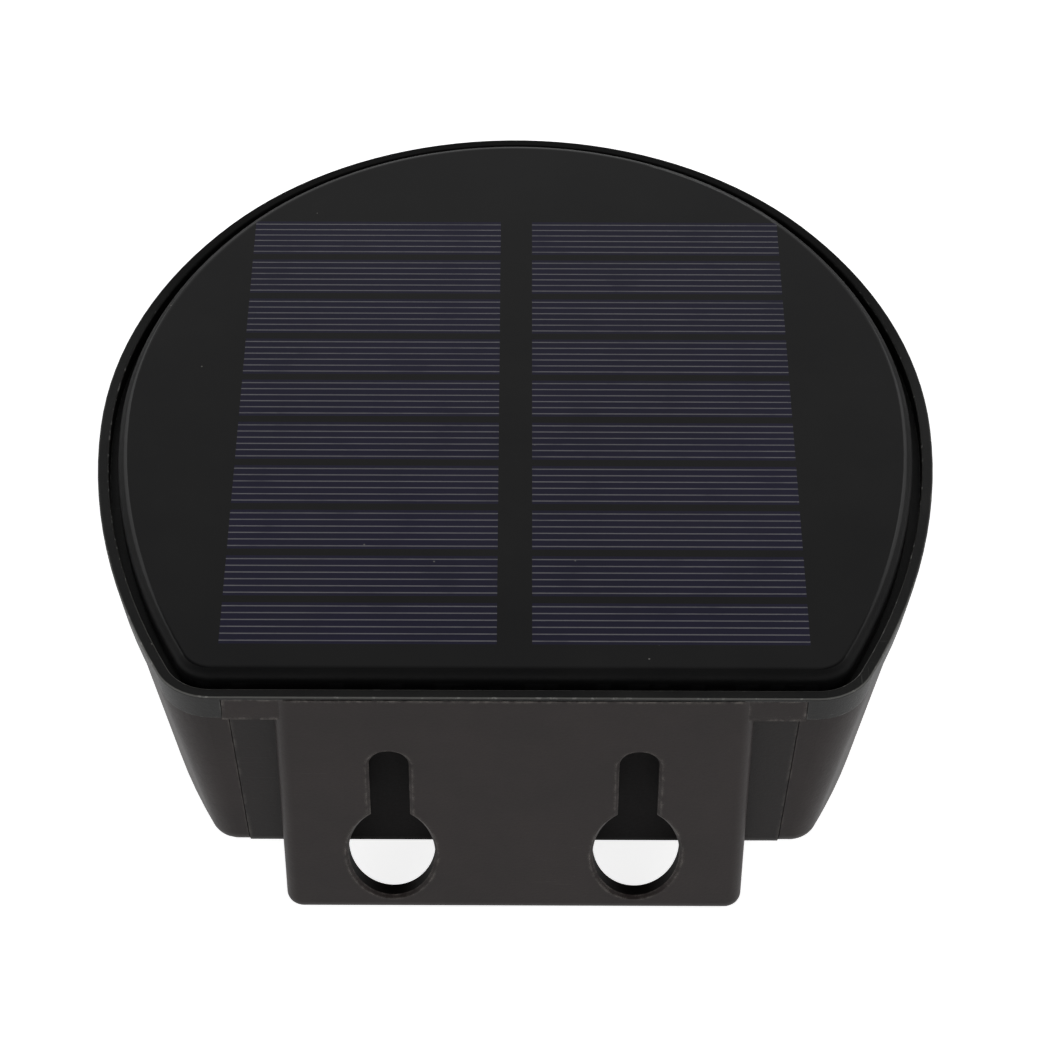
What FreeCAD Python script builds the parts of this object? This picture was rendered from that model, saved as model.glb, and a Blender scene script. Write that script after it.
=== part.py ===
import FreeCAD, Part
import Sketcher
import math
import os

# Solar fence light, in millimetres. X runs along the wall, the wall is at +Y and the
# light reaches out along -Y. Inside this file z = 0 is the top of the cap's rim and
# y = 0 is the face that touches the wall. Every piece is then lifted by rimHeight, so
# that the origin is the middle of the mounting plate's face.

sizes = {
    # D outline of the cap
    "overall_width": 120.6,
    "overall_depth": 119.6,
    "widest_from_wall": 53.0,
    "nose_half_angle": 51.0,
    "flank_radius": 104.0,
    "corner_radius": 8.4,
    # cap
    "skirt_height": 4.8,
    "skirt_draft": 0.7,
    "skirt_wall": 1.0,
    "rim_width": 1.65,
    "rim_lip": 0.6,
    "rim_edge_radius": 0.3,
    "recess_depth": 2.4,
    "cap_floor": 1.2,
    "panel_gap": 1.35,
    "panel_proud": 1.6,
    "panel_edge_radius": 1.4,
    "adhesive_thickness": 0.4,
    "board_thickness": 1.6,
    # solar cells
    "cell_thickness": 0.25,
    "cell_column_width": 37.6,
    "cell_column_gap": 4.8,
    "cell_pitch": 9.0,
    "cell_height": 7.7,
    "cells_from_wall": 8.4,
    # tapered body
    "body_height": 36.9,
    "wall": 2.0,
    "floor": 3.0,
    "shell_step": 1.0,
    "bottom_inset": 6.4,
    "bottom_corner_radius": 4.0,
    "bottom_fillet": 2.4,
    "fit_gap": 0.1,
    "gasket_height": 0.4,
    "gasket_width": 1.0,
    # rear cover and mounting plate
    "cover_face_inset": 5.0,
    "cover_thickness": 2.0,
    "cover_top_width": 78.8,
    "cover_bottom_width": 75.0,
    "band_thickness": 0.9,
    "plate_width": 65.0,
    "plate_height": 45.0,
    "plate_thickness": 2.2,
    "plate_side_wall": 2.0,
    "plate_edge_radius": 1.9,
    "plate_corner_radius": 2.4,
    # keyholes
    "keyhole_spacing": 34.4,
    "slot_width": 5.5,
    "slot_top_drop": 10.7,
    "entry_half_width": 6.1,
    "entry_half_height": 9.4,
    "entry_drop": 32.4,
    "keyhole_chamfer": 0.45,
    # lens, reflector and light-emitting diodes
    "window_inset": 19.0,
    "window_rear": 38.0,
    "window_corner_radius": 5.0,
    "lens_flange": 2.2,
    "lens_flange_thickness": 1.6,
    "lens_recess": 0.5,
    "reflector_height": 9.0,
    "cup_bottom_radius": 8.6,
    "cup_top_radius": 3.6,
    "led_board_width": 62.0,
    "reflector_margin": 10.5,
    "led_board_depth": 38.0,
    "led_board_thickness": 1.6,
    "led_pitch_x": 22.0,
    "led_pitch_y": 20.0,
    "led_size": 5.0,
    "led_height": 1.4,
    "led_rows_from_wall": 56.0,
    # battery and its compartment
    "battery_radius": 7.0,
    "battery_length": 49.2,
    "battery_nub_radius": 2.6,
    "battery_nub_length": 1.2,
    "battery_from_wall": 18.5,
    "battery_above_floor": 8.6,
    "holder_wall": 1.5,
    "holder_gap": 0.4,
    "contact_thickness": 0.5,
    "spring_length": 4.2,
    "spring_width": 5.0,
    "spring_half_height": 4.0,
    "spring_strip": 0.4,
    "spring_tip_drop": 1.5,
    "door_width": 60.0,
    "door_depth": 21.0,
    "door_thickness": 1.4,
    "door_corner_radius": 2.0,
    "door_ledge": 2.2,
    "door_seal_thickness": 0.4,
    "door_ear_radius": 4.0,
    "door_ear_reach": 2.5,
    "door_gap": 0.3,
    # switch
    "switch_x": 39.0,
    "switch_from_wall": 26.0,
    "switch_length": 9.0,
    "switch_width": 5.0,
    "switch_height": 4.0,
    "switch_travel": 3.0,
    "knob_length": 3.0,
    "knob_width": 2.6,
    "knob_gap": 0.3,
    "knob_proud": 0.6,
    # screws
    "screw_shank_radius": 1.3,
    "screw_head_radius": 2.6,
    "screw_head_height": 1.8,
    "screw_length": 12.0,
    "screw_slot_width": 0.6,
    "screw_slot_length": 3.0,
    "screw_slot_depth": 1.0,
    "door_screw_length": 8.0,
    "post_radius": 4.0,
    "front_screw_x": 31.2,
    "front_screw_from_wall": 94.3,
    "rear_screw_x": 38.0,
    "rear_screw_from_wall": 12.2,
    "counterbore_depth": 20.0,
    "cap_boss_length": 6.0,
    "thread_gap": 0.05,
    # charge controller
    "control_board_width": 34.0,
    "control_board_depth": 14.0,
    "control_board_thickness": 1.2,
    "control_from_wall": 40.0,
    "standoff_height": 3.0,
    "standoff_radius": 1.6,
    "lead_hole_radius": 2.5,
    "lead_hole_from_wall": 25.0,
    "component_pitch": 9.0,
    "coil_radius": 3.0,
    "coil_height": 3.2,
    "chip_width": 5.0,
    "chip_depth": 4.0,
    "chip_height": 1.4,
    "capacitor_radius": 2.5,
    "capacitor_height": 5.0,
    # leads
    "lead_radius": 0.55,
    "lead_pair_pitch": 2.2,
    "panel_lead_drop": 7.6,
    "panel_lead_reach": 13.4,
    "battery_lead_reach": 8.0,
    "switch_lead_drop": 7.6,
    "switch_lead_step": 2.2,
}

ledRows = 2
ledColumns = 3
cellRows = 10

doc = FreeCAD.newDocument("FenceLight")
sheet = doc.addObject("Spreadsheet::Sheet", "Sizes")
for row, (name, size) in enumerate(sizes.items(), start=1):
    sheet.set("A%d" % row, name)
    sheet.set("B%d" % row, str(size))
    sheet.setAlias("B%d" % row, name)
doc.recompute()

halfWidth = "Sizes.overall_width / 2"
frontReach = "(Sizes.overall_depth - Sizes.widest_from_wall)"
noseAngle = "(Sizes.nose_half_angle * 1 deg)"
noseRise = "(cos(%s) + sin(%s) - 1)" % (noseAngle, noseAngle)
noseRadius = "(%s - (%s - %s) * cos(%s) / %s)" % (
    frontReach, frontReach, halfWidth, noseAngle, noseRise)
rimHeight = "Sizes.plate_height / 2 + Sizes.rim_lip"


def value(*names):
    # sum of named sizes, where a leading minus takes one away
    total = 0.0
    for name in names:
        if name.startswith("-"):
            total -= sizes[name[1:]]
        else:
            total += sizes[name]
    return total


def formula(*names):
    # the same sum, as an expression on the sheet
    text = ""
    for name in names:
        if name.startswith("-"):
            text += " - Sizes." + name[1:]
        else:
            text += " + Sizes." + name
    return text.lstrip(" +") or "0"


def bind(thing, **expressions):
    for key, text in expressions.items():
        thing.setExpression(key.replace("_", "."), text)


def originPlane(body, role):
    for feature in body.Origin.OriginFeatures:
        if feature.Role == role:
            return feature
    raise ValueError(role)


def newBody(name):
    body = doc.addObject("PartDesign::Body", name)
    body.Label = name
    return body


def newSketch(body, name, role, offset="0"):
    sketch = body.newObject("Sketcher::SketchObject", name)
    sketch.AttachmentSupport = [(originPlane(body, role), "")]
    sketch.MapMode = "FlatFace"
    sketch.setExpression("AttachmentOffset.Base.z", offset)
    return sketch


def hold(sketch, kind, *target):
    # adds a constraint, and binds its size when the last entry is an expression
    if isinstance(target[-1], str):
        number = sketch.addConstraint(Sketcher.Constraint(kind, *target[:-2], target[-2]))
        sketch.setExpression("Constraints[%d]" % number, target[-1])
    else:
        sketch.addConstraint(Sketcher.Constraint(kind, *target))


def outline(sketch, inset, corner, rear):
    # closed D outline, drawn inside the cap's own outline by the inset: a nose arc, two
    # shoulders up to the widest line, two flatter flanks, rounded corners, a straight rear
    shrink = value(*inset)
    depth = value("overall_depth")
    widest = value("widest_from_wall")
    angle = math.radians(value("nose_half_angle"))
    half = value("overall_width") / 2
    reach = depth - widest
    step = (reach - half) / (math.cos(angle) + math.sin(angle) - 1)
    nose = reach - step * math.cos(angle)
    shoulder = nose + step
    flank = value("flank_radius")
    cornerRadius = value(*corner)
    rearLine = -value(*rear)
    flankX = half - flank
    cornerY = rearLine - cornerRadius
    cornerX = flankX + math.sqrt((flank - shrink - cornerRadius) ** 2 - (cornerY + widest) ** 2)
    turn = math.atan2(cornerY + widest, cornerX - flankX)
    right = math.pi / 2

    def arc(x, y, radius, start, end):
        circle = Part.Circle(FreeCAD.Vector(x, y, 0), FreeCAD.Vector(0, 0, 1), radius)
        return Part.ArcOfCircle(circle, start, end)

    rightEnd = FreeCAD.Vector(cornerX, rearLine, 0)
    leftEnd = FreeCAD.Vector(-cornerX, rearLine, 0)
    sketch.addGeometry([
        arc(0, nose - depth, nose - shrink, -right - angle, -right + angle),
        arc(half - shoulder, -widest, shoulder - shrink, -right + angle, 0),
        arc(flankX, -widest, flank - shrink, 0, turn),
        arc(cornerX, cornerY, cornerRadius, turn, right),
        Part.LineSegment(rightEnd, leftEnd),
        arc(-cornerX, cornerY, cornerRadius, right, 2 * right - turn),
        arc(-flankX, -widest, flank - shrink, 2 * right - turn, 2 * right),
        arc(shoulder - half, -widest, shoulder - shrink, 2 * right, 3 * right - angle),
    ], False)
    for edge in range(8):
        hold(sketch, "Tangent", edge, 2, (edge + 1) % 8, 1)
    less = " - (%s)" % formula(*inset)
    hold(sketch, "PointOnObject", 0, 3, -2)
    hold(sketch, "DistanceY", 0, 3, -1, 1, depth - nose, "Sizes.overall_depth - " + noseRadius)
    hold(sketch, "Radius", 0, nose - shrink, noseRadius + less)
    hold(sketch, "DistanceX", -1, 1, 1, 2, half - shrink, halfWidth + less)
    hold(sketch, "DistanceX", 7, 1, -1, 1, half - shrink, halfWidth + less)
    for edge in (1, 2, 6, 7):
        hold(sketch, "DistanceY", edge, 3, -1, 1, widest, "Sizes.widest_from_wall")
    for edge in (2, 6):
        hold(sketch, "Radius", edge, flank - shrink, "Sizes.flank_radius" + less)
    for edge in (3, 5):
        hold(sketch, "Radius", edge, cornerRadius, formula(*corner))
    hold(sketch, "Horizontal", 4)
    hold(sketch, "DistanceY", 4, 1, -1, 1, -rearLine, formula(*rear))


def outlineSketch(body, name, level, inset, corner, rear):
    sketch = newSketch(body, name, "XY_Plane", level)
    outline(sketch, inset, corner, rear)
    return sketch


def pad(body, name, sketch, length, reverse=False):
    feature = body.newObject("PartDesign::Pad", name)
    feature.Profile = sketch
    feature.Reversed = reverse
    feature.setExpression("Length", length)
    sketch.Visibility = False
    return feature


def pocket(body, name, sketch, length, reverse=False):
    feature = body.newObject("PartDesign::Pocket", name)
    feature.Profile = sketch
    feature.Reversed = reverse
    feature.setExpression("Length", length)
    return feature


def loft(body, kind, name, first, second):
    feature = body.newObject("PartDesign::%sLoft" % kind, name)
    feature.Profile = first
    feature.Sections = [second]
    feature.Ruled = True
    return feature


def roundEdges(body, name, keep, radius):
    # rounds the edges of the body's last shape that the test keeps
    doc.recompute()
    base = body.Tip
    names = []
    for number, edge in enumerate(base.Shape.Edges, start=1):
        if keep(edge):
            names.append("Edge%d" % number)
    feature = body.newObject("PartDesign::Fillet", name)
    feature.Base = (base, names)
    feature.setExpression("Radius", radius)
    return feature


def onLevel(edge, height):
    box = edge.BoundBox
    return abs(box.ZMin - height) < 1e-4 and abs(box.ZMax - height) < 1e-4


def place(thing, x, y, z, turn=None):
    bind(thing, Placement_Base_x=x, Placement_Base_y=y, Placement_Base_z=z)
    if turn:
        thing.Placement.Rotation = FreeCAD.Rotation(FreeCAD.Vector(*turn[0]), turn[1])
    return thing


def block(name, width, depth, height, x, y, z):
    # box centred on x and y, rising from z
    box = doc.addObject("Part::Box", name)
    bind(box, Length=width, Width=depth, Height=height)
    return place(box, "%s - (%s) / 2" % (x, width), "%s - (%s) / 2" % (y, depth), z)


def rod(name, radius, height, x, y, z, turn=None):
    cylinder = doc.addObject("Part::Cylinder", name)
    bind(cylinder, Radius=radius, Height=height)
    return place(cylinder, x, y, z, turn)


def join(name, pieces):
    whole = doc.addObject("Part::MultiFuse", name)
    whole.Shapes = pieces
    return whole


def group(name, pieces):
    whole = doc.addObject("Part::Compound", name)
    whole.Links = pieces
    return whole


def cutFrom(name, base, tools):
    result = doc.addObject("Part::Cut", name)
    result.Base = base
    result.Tool = tools[0] if len(tools) == 1 else join(name + "Tools", tools)
    return result


# levels, measured from the top of the rim
capUnder = "-(%s)" % formula("recess_depth", "cap_floor")
skirtFoot = "-Sizes.skirt_height"
shellTop = "%s - Sizes.gasket_height" % capUnder
shellShoulder = "-(%s)" % formula("skirt_height", "fit_gap")
underside = "-Sizes.body_height"
floorTop = "-(%s)" % formula("body_height", "-floor")
boardFoot = "-(%s)" % formula("recess_depth", "-adhesive_thickness")
boardTop = "%s + Sizes.board_thickness" % boardFoot
lensTop = "%s + Sizes.lens_flange_thickness" % floorTop
ledBoardFoot = "%s + Sizes.reflector_height" % lensTop
controlFoot = "%s - (%s)" % (capUnder, formula("standoff_height", "control_board_thickness"))
seatLevel = "%s + Sizes.counterbore_depth" % underside
batteryLevel = "%s + Sizes.battery_above_floor" % floorTop
doorScrewY = "-(%s + Sizes.door_depth / 2)" % formula("battery_from_wall", "door_ear_reach")
doorRoof = "%s + %s" % (underside, formula("door_thickness", "door_seal_thickness"))
cellRoom = "(%s)" % formula("battery_length", "battery_nub_length", "spring_length",
                            "contact_thickness", "contact_thickness")
batteryStart = "-%s / 2 + %s" % (cellRoom, formula("contact_thickness", "spring_length"))
leadExitLevel = "%s + Sizes.battery_radius * 0.6" % batteryLevel

screwSpots = []
for side in ("", "-"):
    screwSpots.append((side + "Sizes.front_screw_x", "-Sizes.front_screw_from_wall"))
    screwSpots.append((side + "Sizes.rear_screw_x", "-Sizes.rear_screw_from_wall"))
panelInset = ("rim_width", "panel_gap")
windowRear = ("window_rear",)
ledSpots = []
for ledColumn in range(ledColumns):
    for ledRow in range(ledRows):
        ledX = "Sizes.led_pitch_x * %g" % (ledColumn - (ledColumns - 1) / 2)
        ledY = "-(Sizes.led_rows_from_wall + Sizes.led_pitch_y * %d)" % ledRow
        ledSpots.append((ledX, ledY))
ledMiddle = "-(Sizes.led_rows_from_wall + Sizes.led_pitch_y * %g)" % ((ledRows - 1) / 2)


def makeCapFrame():
    # rim, recess and skirt from one outline, with a gap at the rear for the cover's band
    body = newBody("capFrameBody")
    top = outlineSketch(body, "capTop", "0", (), ("corner_radius",), ())
    foot = outlineSketch(body, "capFoot", skirtFoot, ("skirt_draft",),
                         ("corner_radius", "-skirt_draft"), ("skirt_draft",))
    loft(body, "Additive", "capSkirt", top, foot)
    recess = outlineSketch(body, "capRecess", "0", ("rim_width",),
                           ("corner_radius", "-rim_width"), ("rim_width",))
    pocket(body, "capRecessPocket", recess, "Sizes.recess_depth")
    roundEdges(body, "capRimEdge", lambda edge: onLevel(edge, 0), "Sizes.rim_edge_radius")
    hollow = outlineSketch(body, "capHollow", skirtFoot, ("skirt_draft", "skirt_wall"),
                           ("corner_radius", "-skirt_draft", "-skirt_wall"),
                           ("skirt_draft", "skirt_wall"))
    pocket(body, "capHollowPocket", hollow,
           formula("skirt_height", "-recess_depth", "-cap_floor"), reverse=True)
    bosses = [body]
    pilots = []
    for number, (x, y) in enumerate(screwSpots):
        bosses.append(rod("capBoss%d" % number, "Sizes.post_radius", "Sizes.cap_boss_length",
                          x, y, "%s - Sizes.cap_boss_length" % capUnder))
        pilots.append(rod("capPilot%d" % number, formula("screw_shank_radius", "thread_gap"),
                          "Sizes.cap_boss_length", x, y, "%s - Sizes.cap_boss_length" % capUnder))
    for side in (-1, 1):
        x = "%d * Sizes.control_board_width * 0.4" % side
        bosses.append(rod("standoff%d" % (side + 1), "Sizes.standoff_radius",
                          "Sizes.standoff_height", x, "-Sizes.control_from_wall",
                          "%s - Sizes.standoff_height" % capUnder))
    bandGap = block("capBandGap", formula("cover_top_width", "fit_gap", "fit_gap"),
                    "2 * (%s)" % formula("band_thickness", "fit_gap"), "Sizes.skirt_height * 2",
                    "0", "0", "-Sizes.rim_lip - Sizes.skirt_height * 2")
    skirtGap = block("capSkirtGap", formula("cover_top_width", "fit_gap", "fit_gap"),
                     "2 * (%s)" % formula("cover_face_inset", "cover_thickness", "fit_gap"),
                     "Sizes.skirt_height * 2", "0", "0", "%s - Sizes.skirt_height * 2" % capUnder)
    leadHole = rod("capLeadHole", "Sizes.lead_hole_radius", "Sizes.cap_floor * 3", "0",
                   "-Sizes.lead_hole_from_wall", "%s - Sizes.cap_floor" % capUnder)
    return cutFrom("cap_frame", join("capWithBosses", bosses),
                   pilots + [bandGap, skirtGap, leadHole])


def makePanelLayer(name, foot, thickness, inset):
    corner = tuple("-" + size for size in inset)
    body = newBody(name)
    sketch = outlineSketch(body, name + "Outline", foot, inset, ("corner_radius",) + corner, inset)
    pad(body, name + "Pad", sketch, thickness)
    return body


def makeAdhesive():
    # foam tape between the recess and the board, open where the leads pass
    tape = makePanelLayer("adhesiveTape", "-Sizes.recess_depth", "Sizes.adhesive_thickness",
                          panelInset + ("rim_width",))
    leadHole = rod("adhesiveLeadHole", "Sizes.lead_hole_radius", "Sizes.adhesive_thickness * 4",
                   "0", "-Sizes.lead_hole_from_wall", "-Sizes.recess_depth * 1.2")
    return cutFrom("panel_adhesive", tape, [leadHole])


def makeSolarCells():
    # two columns of strips with a bare lane between them
    strips = []
    for side in (-1, 1):
        for row in range(cellRows):
            x = "%d * (Sizes.cell_column_gap + Sizes.cell_column_width) / 2" % side
            y = "-(%s + Sizes.cell_height / 2 + %d * Sizes.cell_pitch)" % (
                "Sizes.cells_from_wall", row)
            strips.append(block("cell%d_%d" % (side + 1, row), "Sizes.cell_column_width",
                                "Sizes.cell_height", "Sizes.cell_thickness", x, y, boardTop))
    return strips


def makeResin(strips):
    # clear cap over the cells, standing above the rim with a rounded edge
    body = makePanelLayer("resinBody", boardTop,
                          "Sizes.panel_proud - (%s)" % boardTop, panelInset)
    top = value("panel_proud")
    roundEdges(body, "resinEdge", lambda edge: onLevel(edge, top), "Sizes.panel_edge_radius")
    return cutFrom("panel_resin", body, strips)


def makeGasket():
    body = newBody("cap_gasket")
    seat = ("skirt_draft", "skirt_wall", "fit_gap", "fit_gap")
    hole = seat + ("gasket_width",)
    ring = outlineSketch(body, "gasketRing", shellTop, seat,
                         ("corner_radius",) + tuple("-" + size for size in seat),
                         ("cover_face_inset",))
    pad(body, "gasketPad", ring, "Sizes.gasket_height")
    inner = outlineSketch(body, "gasketHole", shellTop, hole,
                          ("corner_radius",) + tuple("-" + size for size in hole),
                          ("cover_face_inset", "gasket_width"))
    pocket(body, "gasketPocket", inner, "Sizes.gasket_height", reverse=True)
    return body


def doorPlate(name, level, height, slack):
    # rounded rectangle of the battery door, grown by the slack on every side
    body = newBody(name)
    sketch = newSketch(body, name + "Outline", "XY_Plane", level)
    width = ("door_width",) + slack + slack
    depth = ("door_depth",) + slack + slack
    right = value(*width) / 2
    near = value("battery_from_wall") - value(*depth) / 2
    far = value("battery_from_wall") + value(*depth) / 2
    corners = [(-right, -far), (right, -far), (right, -near), (-right, -near)]
    for start, end in zip(corners, corners[1:] + corners[:1]):
        sketch.addGeometry(Part.LineSegment(FreeCAD.Vector(start[0], start[1], 0),
                                            FreeCAD.Vector(end[0], end[1], 0)), False)
    for edge in range(4):
        hold(sketch, "Coincident", edge, 2, (edge + 1) % 4, 1)
    for edge in (0, 2):
        hold(sketch, "Horizontal", edge)
        hold(sketch, "Vertical", edge + 1)
    halfDepth = "(%s) / 2" % formula(*depth)
    hold(sketch, "DistanceX", -1, 1, 0, 2, right, "(%s) / 2" % formula(*width))
    hold(sketch, "DistanceX", 0, 1, -1, 1, right, "(%s) / 2" % formula(*width))
    hold(sketch, "DistanceY", 2, 1, -1, 1, near, "Sizes.battery_from_wall - " + halfDepth)
    hold(sketch, "DistanceY", 0, 1, -1, 1, far, "Sizes.battery_from_wall + " + halfDepth)
    pad(body, name + "Pad", sketch, height)
    roundEdges(body, name + "Corners", lambda edge: edge.BoundBox.ZLength > 1e-4,
               formula("door_corner_radius", *slack))
    return body


def makeBodyShell():
    body = newBody("shellBody")
    top = outlineSketch(body, "shellShoulder", shellShoulder, ("shell_step",),
                        ("corner_radius", "-shell_step"), ("cover_face_inset",))
    foot = outlineSketch(body, "shellFoot", underside, ("bottom_inset",),
                         ("bottom_corner_radius",), ("cover_face_inset",))
    loft(body, "Additive", "shellTaper", top, foot)
    tongue = ("skirt_draft", "skirt_wall", "fit_gap")
    collar = outlineSketch(body, "shellTongue", shellShoulder, tongue,
                           ("corner_radius",) + tuple("-" + size for size in tongue),
                           ("cover_face_inset",))
    pad(body, "shellTonguePad", collar, "%s - (%s)" % (shellTop, shellShoulder))
    low = -value("body_height")
    roundEdges(body, "shellFootEdge", lambda edge: onLevel(edge, low), "Sizes.bottom_fillet")
    behind = ("cover_face_inset", "cover_thickness")
    mouth = outlineSketch(body, "shellMouth", shellTop, ("shell_step", "wall"),
                          ("corner_radius", "-shell_step", "-wall"), behind)
    base = outlineSketch(body, "shellBase", floorTop, ("bottom_inset", "wall"),
                         ("bottom_corner_radius", "-wall"), behind)
    loft(body, "Subtractive", "shellHollow", mouth, base)
    window = outlineSketch(body, "lensWindow", floorTop, ("window_inset",),
                           ("window_corner_radius",), windowRear)
    pocket(body, "lensWindowPocket", window, "Sizes.floor * 2")

    posts = [body]
    holes = []
    for number, (x, y) in enumerate(screwSpots):
        posts.append(rod("post%d" % number, "Sizes.post_radius",
                         "%s - Sizes.cap_boss_length - Sizes.fit_gap - (%s)" % (capUnder, floorTop),
                         x, y, floorTop))
        holes.append(rod("postHole%d" % number, formula("screw_shank_radius", "fit_gap"),
                         "Sizes.body_height", x, y, underside))
        holes.append(rod("postBore%d" % number, formula("screw_head_radius", "door_gap"),
                         "Sizes.counterbore_depth", x, y, underside))
    posts.append(rod("doorPost", "Sizes.post_radius - Sizes.fit_gap * 8", "Sizes.floor * 2",
                     "0", doorScrewY, floorTop))
    holes.append(rod("doorPostHole", formula("screw_shank_radius", "thread_gap"),
                     "Sizes.floor * 4", "0", doorScrewY, underside))
    holes.append(rod("doorEarRecess", formula("door_ear_radius", "door_gap"),
                     "%s - (%s)" % (doorRoof, underside), "0", doorScrewY, underside))
    holes.append(doorPlate("doorRecess", underside, "%s - (%s)" % (doorRoof, underside),
                           ("door_gap",)))
    holes.append(block("doorWindow", "Sizes.door_width - 2 * Sizes.door_ledge",
                       "Sizes.door_depth - 2 * Sizes.door_ledge", "Sizes.floor * 2", "0",
                       "-Sizes.battery_from_wall", underside))
    holes.append(block("knobSlot", "Sizes.knob_width + 2 * Sizes.knob_gap",
                       "Sizes.knob_length + Sizes.switch_travel + 2 * Sizes.knob_gap",
                       "Sizes.floor * 2", "Sizes.switch_x", "-Sizes.switch_from_wall", underside))
    holes.append(coverOpening())
    return cutFrom("body_shell", join("shellWithPosts", posts), holes)


def coverTrapezium(body, name, gap):
    # the cover's outline seen from the wall, wider at the top than at the bottom
    sketch = newSketch(body, name, "XZ_Plane", formula("cover_face_inset"))
    topHalf = value("cover_top_width") / 2 + gap
    lowHalf = value("cover_bottom_width") / 2 + gap
    top = value("gasket_height", "recess_depth", "cap_floor")
    low = value("body_height")
    corners = [(-topHalf, -top), (topHalf, -top), (lowHalf, -low), (-lowHalf, -low)]
    for start, end in zip(corners, corners[1:] + corners[:1]):
        sketch.addGeometry(Part.LineSegment(FreeCAD.Vector(start[0], start[1], 0),
                                            FreeCAD.Vector(end[0], end[1], 0)), False)
    for edge in range(4):
        hold(sketch, "Coincident", edge, 2, (edge + 1) % 4, 1)
    hold(sketch, "Horizontal", 0)
    hold(sketch, "Horizontal", 2)
    slack = " + %g" % gap
    hold(sketch, "DistanceX", -1, 1, 0, 2, topHalf, "Sizes.cover_top_width / 2" + slack)
    hold(sketch, "DistanceX", 0, 1, -1, 1, topHalf, "Sizes.cover_top_width / 2" + slack)
    hold(sketch, "DistanceX", -1, 1, 1, 2, lowHalf, "Sizes.cover_bottom_width / 2" + slack)
    hold(sketch, "DistanceX", 2, 2, -1, 1, lowHalf, "Sizes.cover_bottom_width / 2" + slack)
    hold(sketch, "DistanceY", 0, 1, -1, 1, top, formula("gasket_height", "recess_depth", "cap_floor"))
    hold(sketch, "DistanceY", 2, 1, -1, 1, low, "Sizes.body_height")
    return sketch


def coverOpening():
    body = newBody("coverOpening")
    sketch = coverTrapezium(body, "openingOutline", value("fit_gap"))
    pad(body, "openingPad", sketch, "Sizes.cover_thickness")
    return body


def makeEllipse(name, grow, x, y, z):
    # upright ellipse that faces the wall, the shape of a keyhole's entry
    ellipse = doc.addObject("Part::Ellipse", name)
    bind(ellipse, MajorRadius="Sizes.entry_half_height" + grow,
         MinorRadius="Sizes.entry_half_width" + grow)
    place(ellipse, x, y, z)
    ellipse.Placement.Rotation = FreeCAD.Rotation(FreeCAD.Vector(0, 0, 1),
                                                  FreeCAD.Vector(-1, 0, 0),
                                                  FreeCAD.Vector(0, -1, 0), "ZXY")
    return ellipse


def makeKeyhole(side):
    # oval entry, a slot up from its middle, and a chamfer around both
    x = "%d * Sizes.keyhole_spacing / 2" % side
    entryMiddle = "-(%s)" % formula("rim_lip", "entry_drop")
    slotTop = "-(%s + Sizes.slot_width / 2)" % formula("rim_lip", "slot_top_drop")
    slotLength = "(Sizes.entry_drop - Sizes.slot_top_drop - Sizes.slot_width / 2)"
    bevel = "Sizes.keyhole_chamfer"
    turn = ((1, 0, 0), 90)
    label = str(side + 1)
    entry = doc.addObject("Part::Extrusion", "entryHole" + label)
    entry.Base = makeEllipse("entryOutline" + label, "", x, "Sizes.plate_thickness", entryMiddle)
    entry.Dir = (0, -1, 0)
    entry.Solid = True
    bind(entry, LengthFwd="Sizes.plate_thickness * 2.5")
    entryBevel = doc.addObject("Part::Loft", "entryBevel" + label)
    entryBevel.Sections = [
        makeEllipse("entryBevelOuter" + label, " + 2 * " + bevel, x, bevel, entryMiddle),
        makeEllipse("entryBevelInner" + label, "", x, "-" + bevel, entryMiddle),
    ]
    entryBevel.Solid = True
    entryBevel.Ruled = True
    slotEnd = rod("slotEnd" + label, "Sizes.slot_width / 2", "Sizes.plate_thickness * 2.5", x,
                  "Sizes.plate_thickness", slotTop, turn)
    endBevel = doc.addObject("Part::Cone", "slotEndBevel" + label)
    bind(endBevel, Radius1="Sizes.slot_width / 2 + 2 * " + bevel, Radius2="Sizes.slot_width / 2",
         Height="2 * " + bevel)
    place(endBevel, x, bevel, slotTop, turn)
    slot = block("slot" + label, "Sizes.slot_width", "Sizes.plate_thickness * 2.5", slotLength,
                 x, "0", "%s - %s" % (slotTop, slotLength))
    sideBevel = doc.addObject("Part::Wedge", "slotSideBevel" + label)
    wide = "Sizes.slot_width / 2 + 2 * " + bevel
    bind(sideBevel, Ymin="-" + bevel, Ymax=bevel, Xmin="-Sizes.slot_width / 2",
         Xmax="Sizes.slot_width / 2", X2min="-(%s)" % wide, X2max=wide,
         Zmin="-" + slotLength, Zmax="0", Z2min="-" + slotLength, Z2max="0")
    place(sideBevel, x, "0", slotTop)
    return [entry, entryBevel, slotEnd, endBevel, slot, sideBevel]


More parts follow.
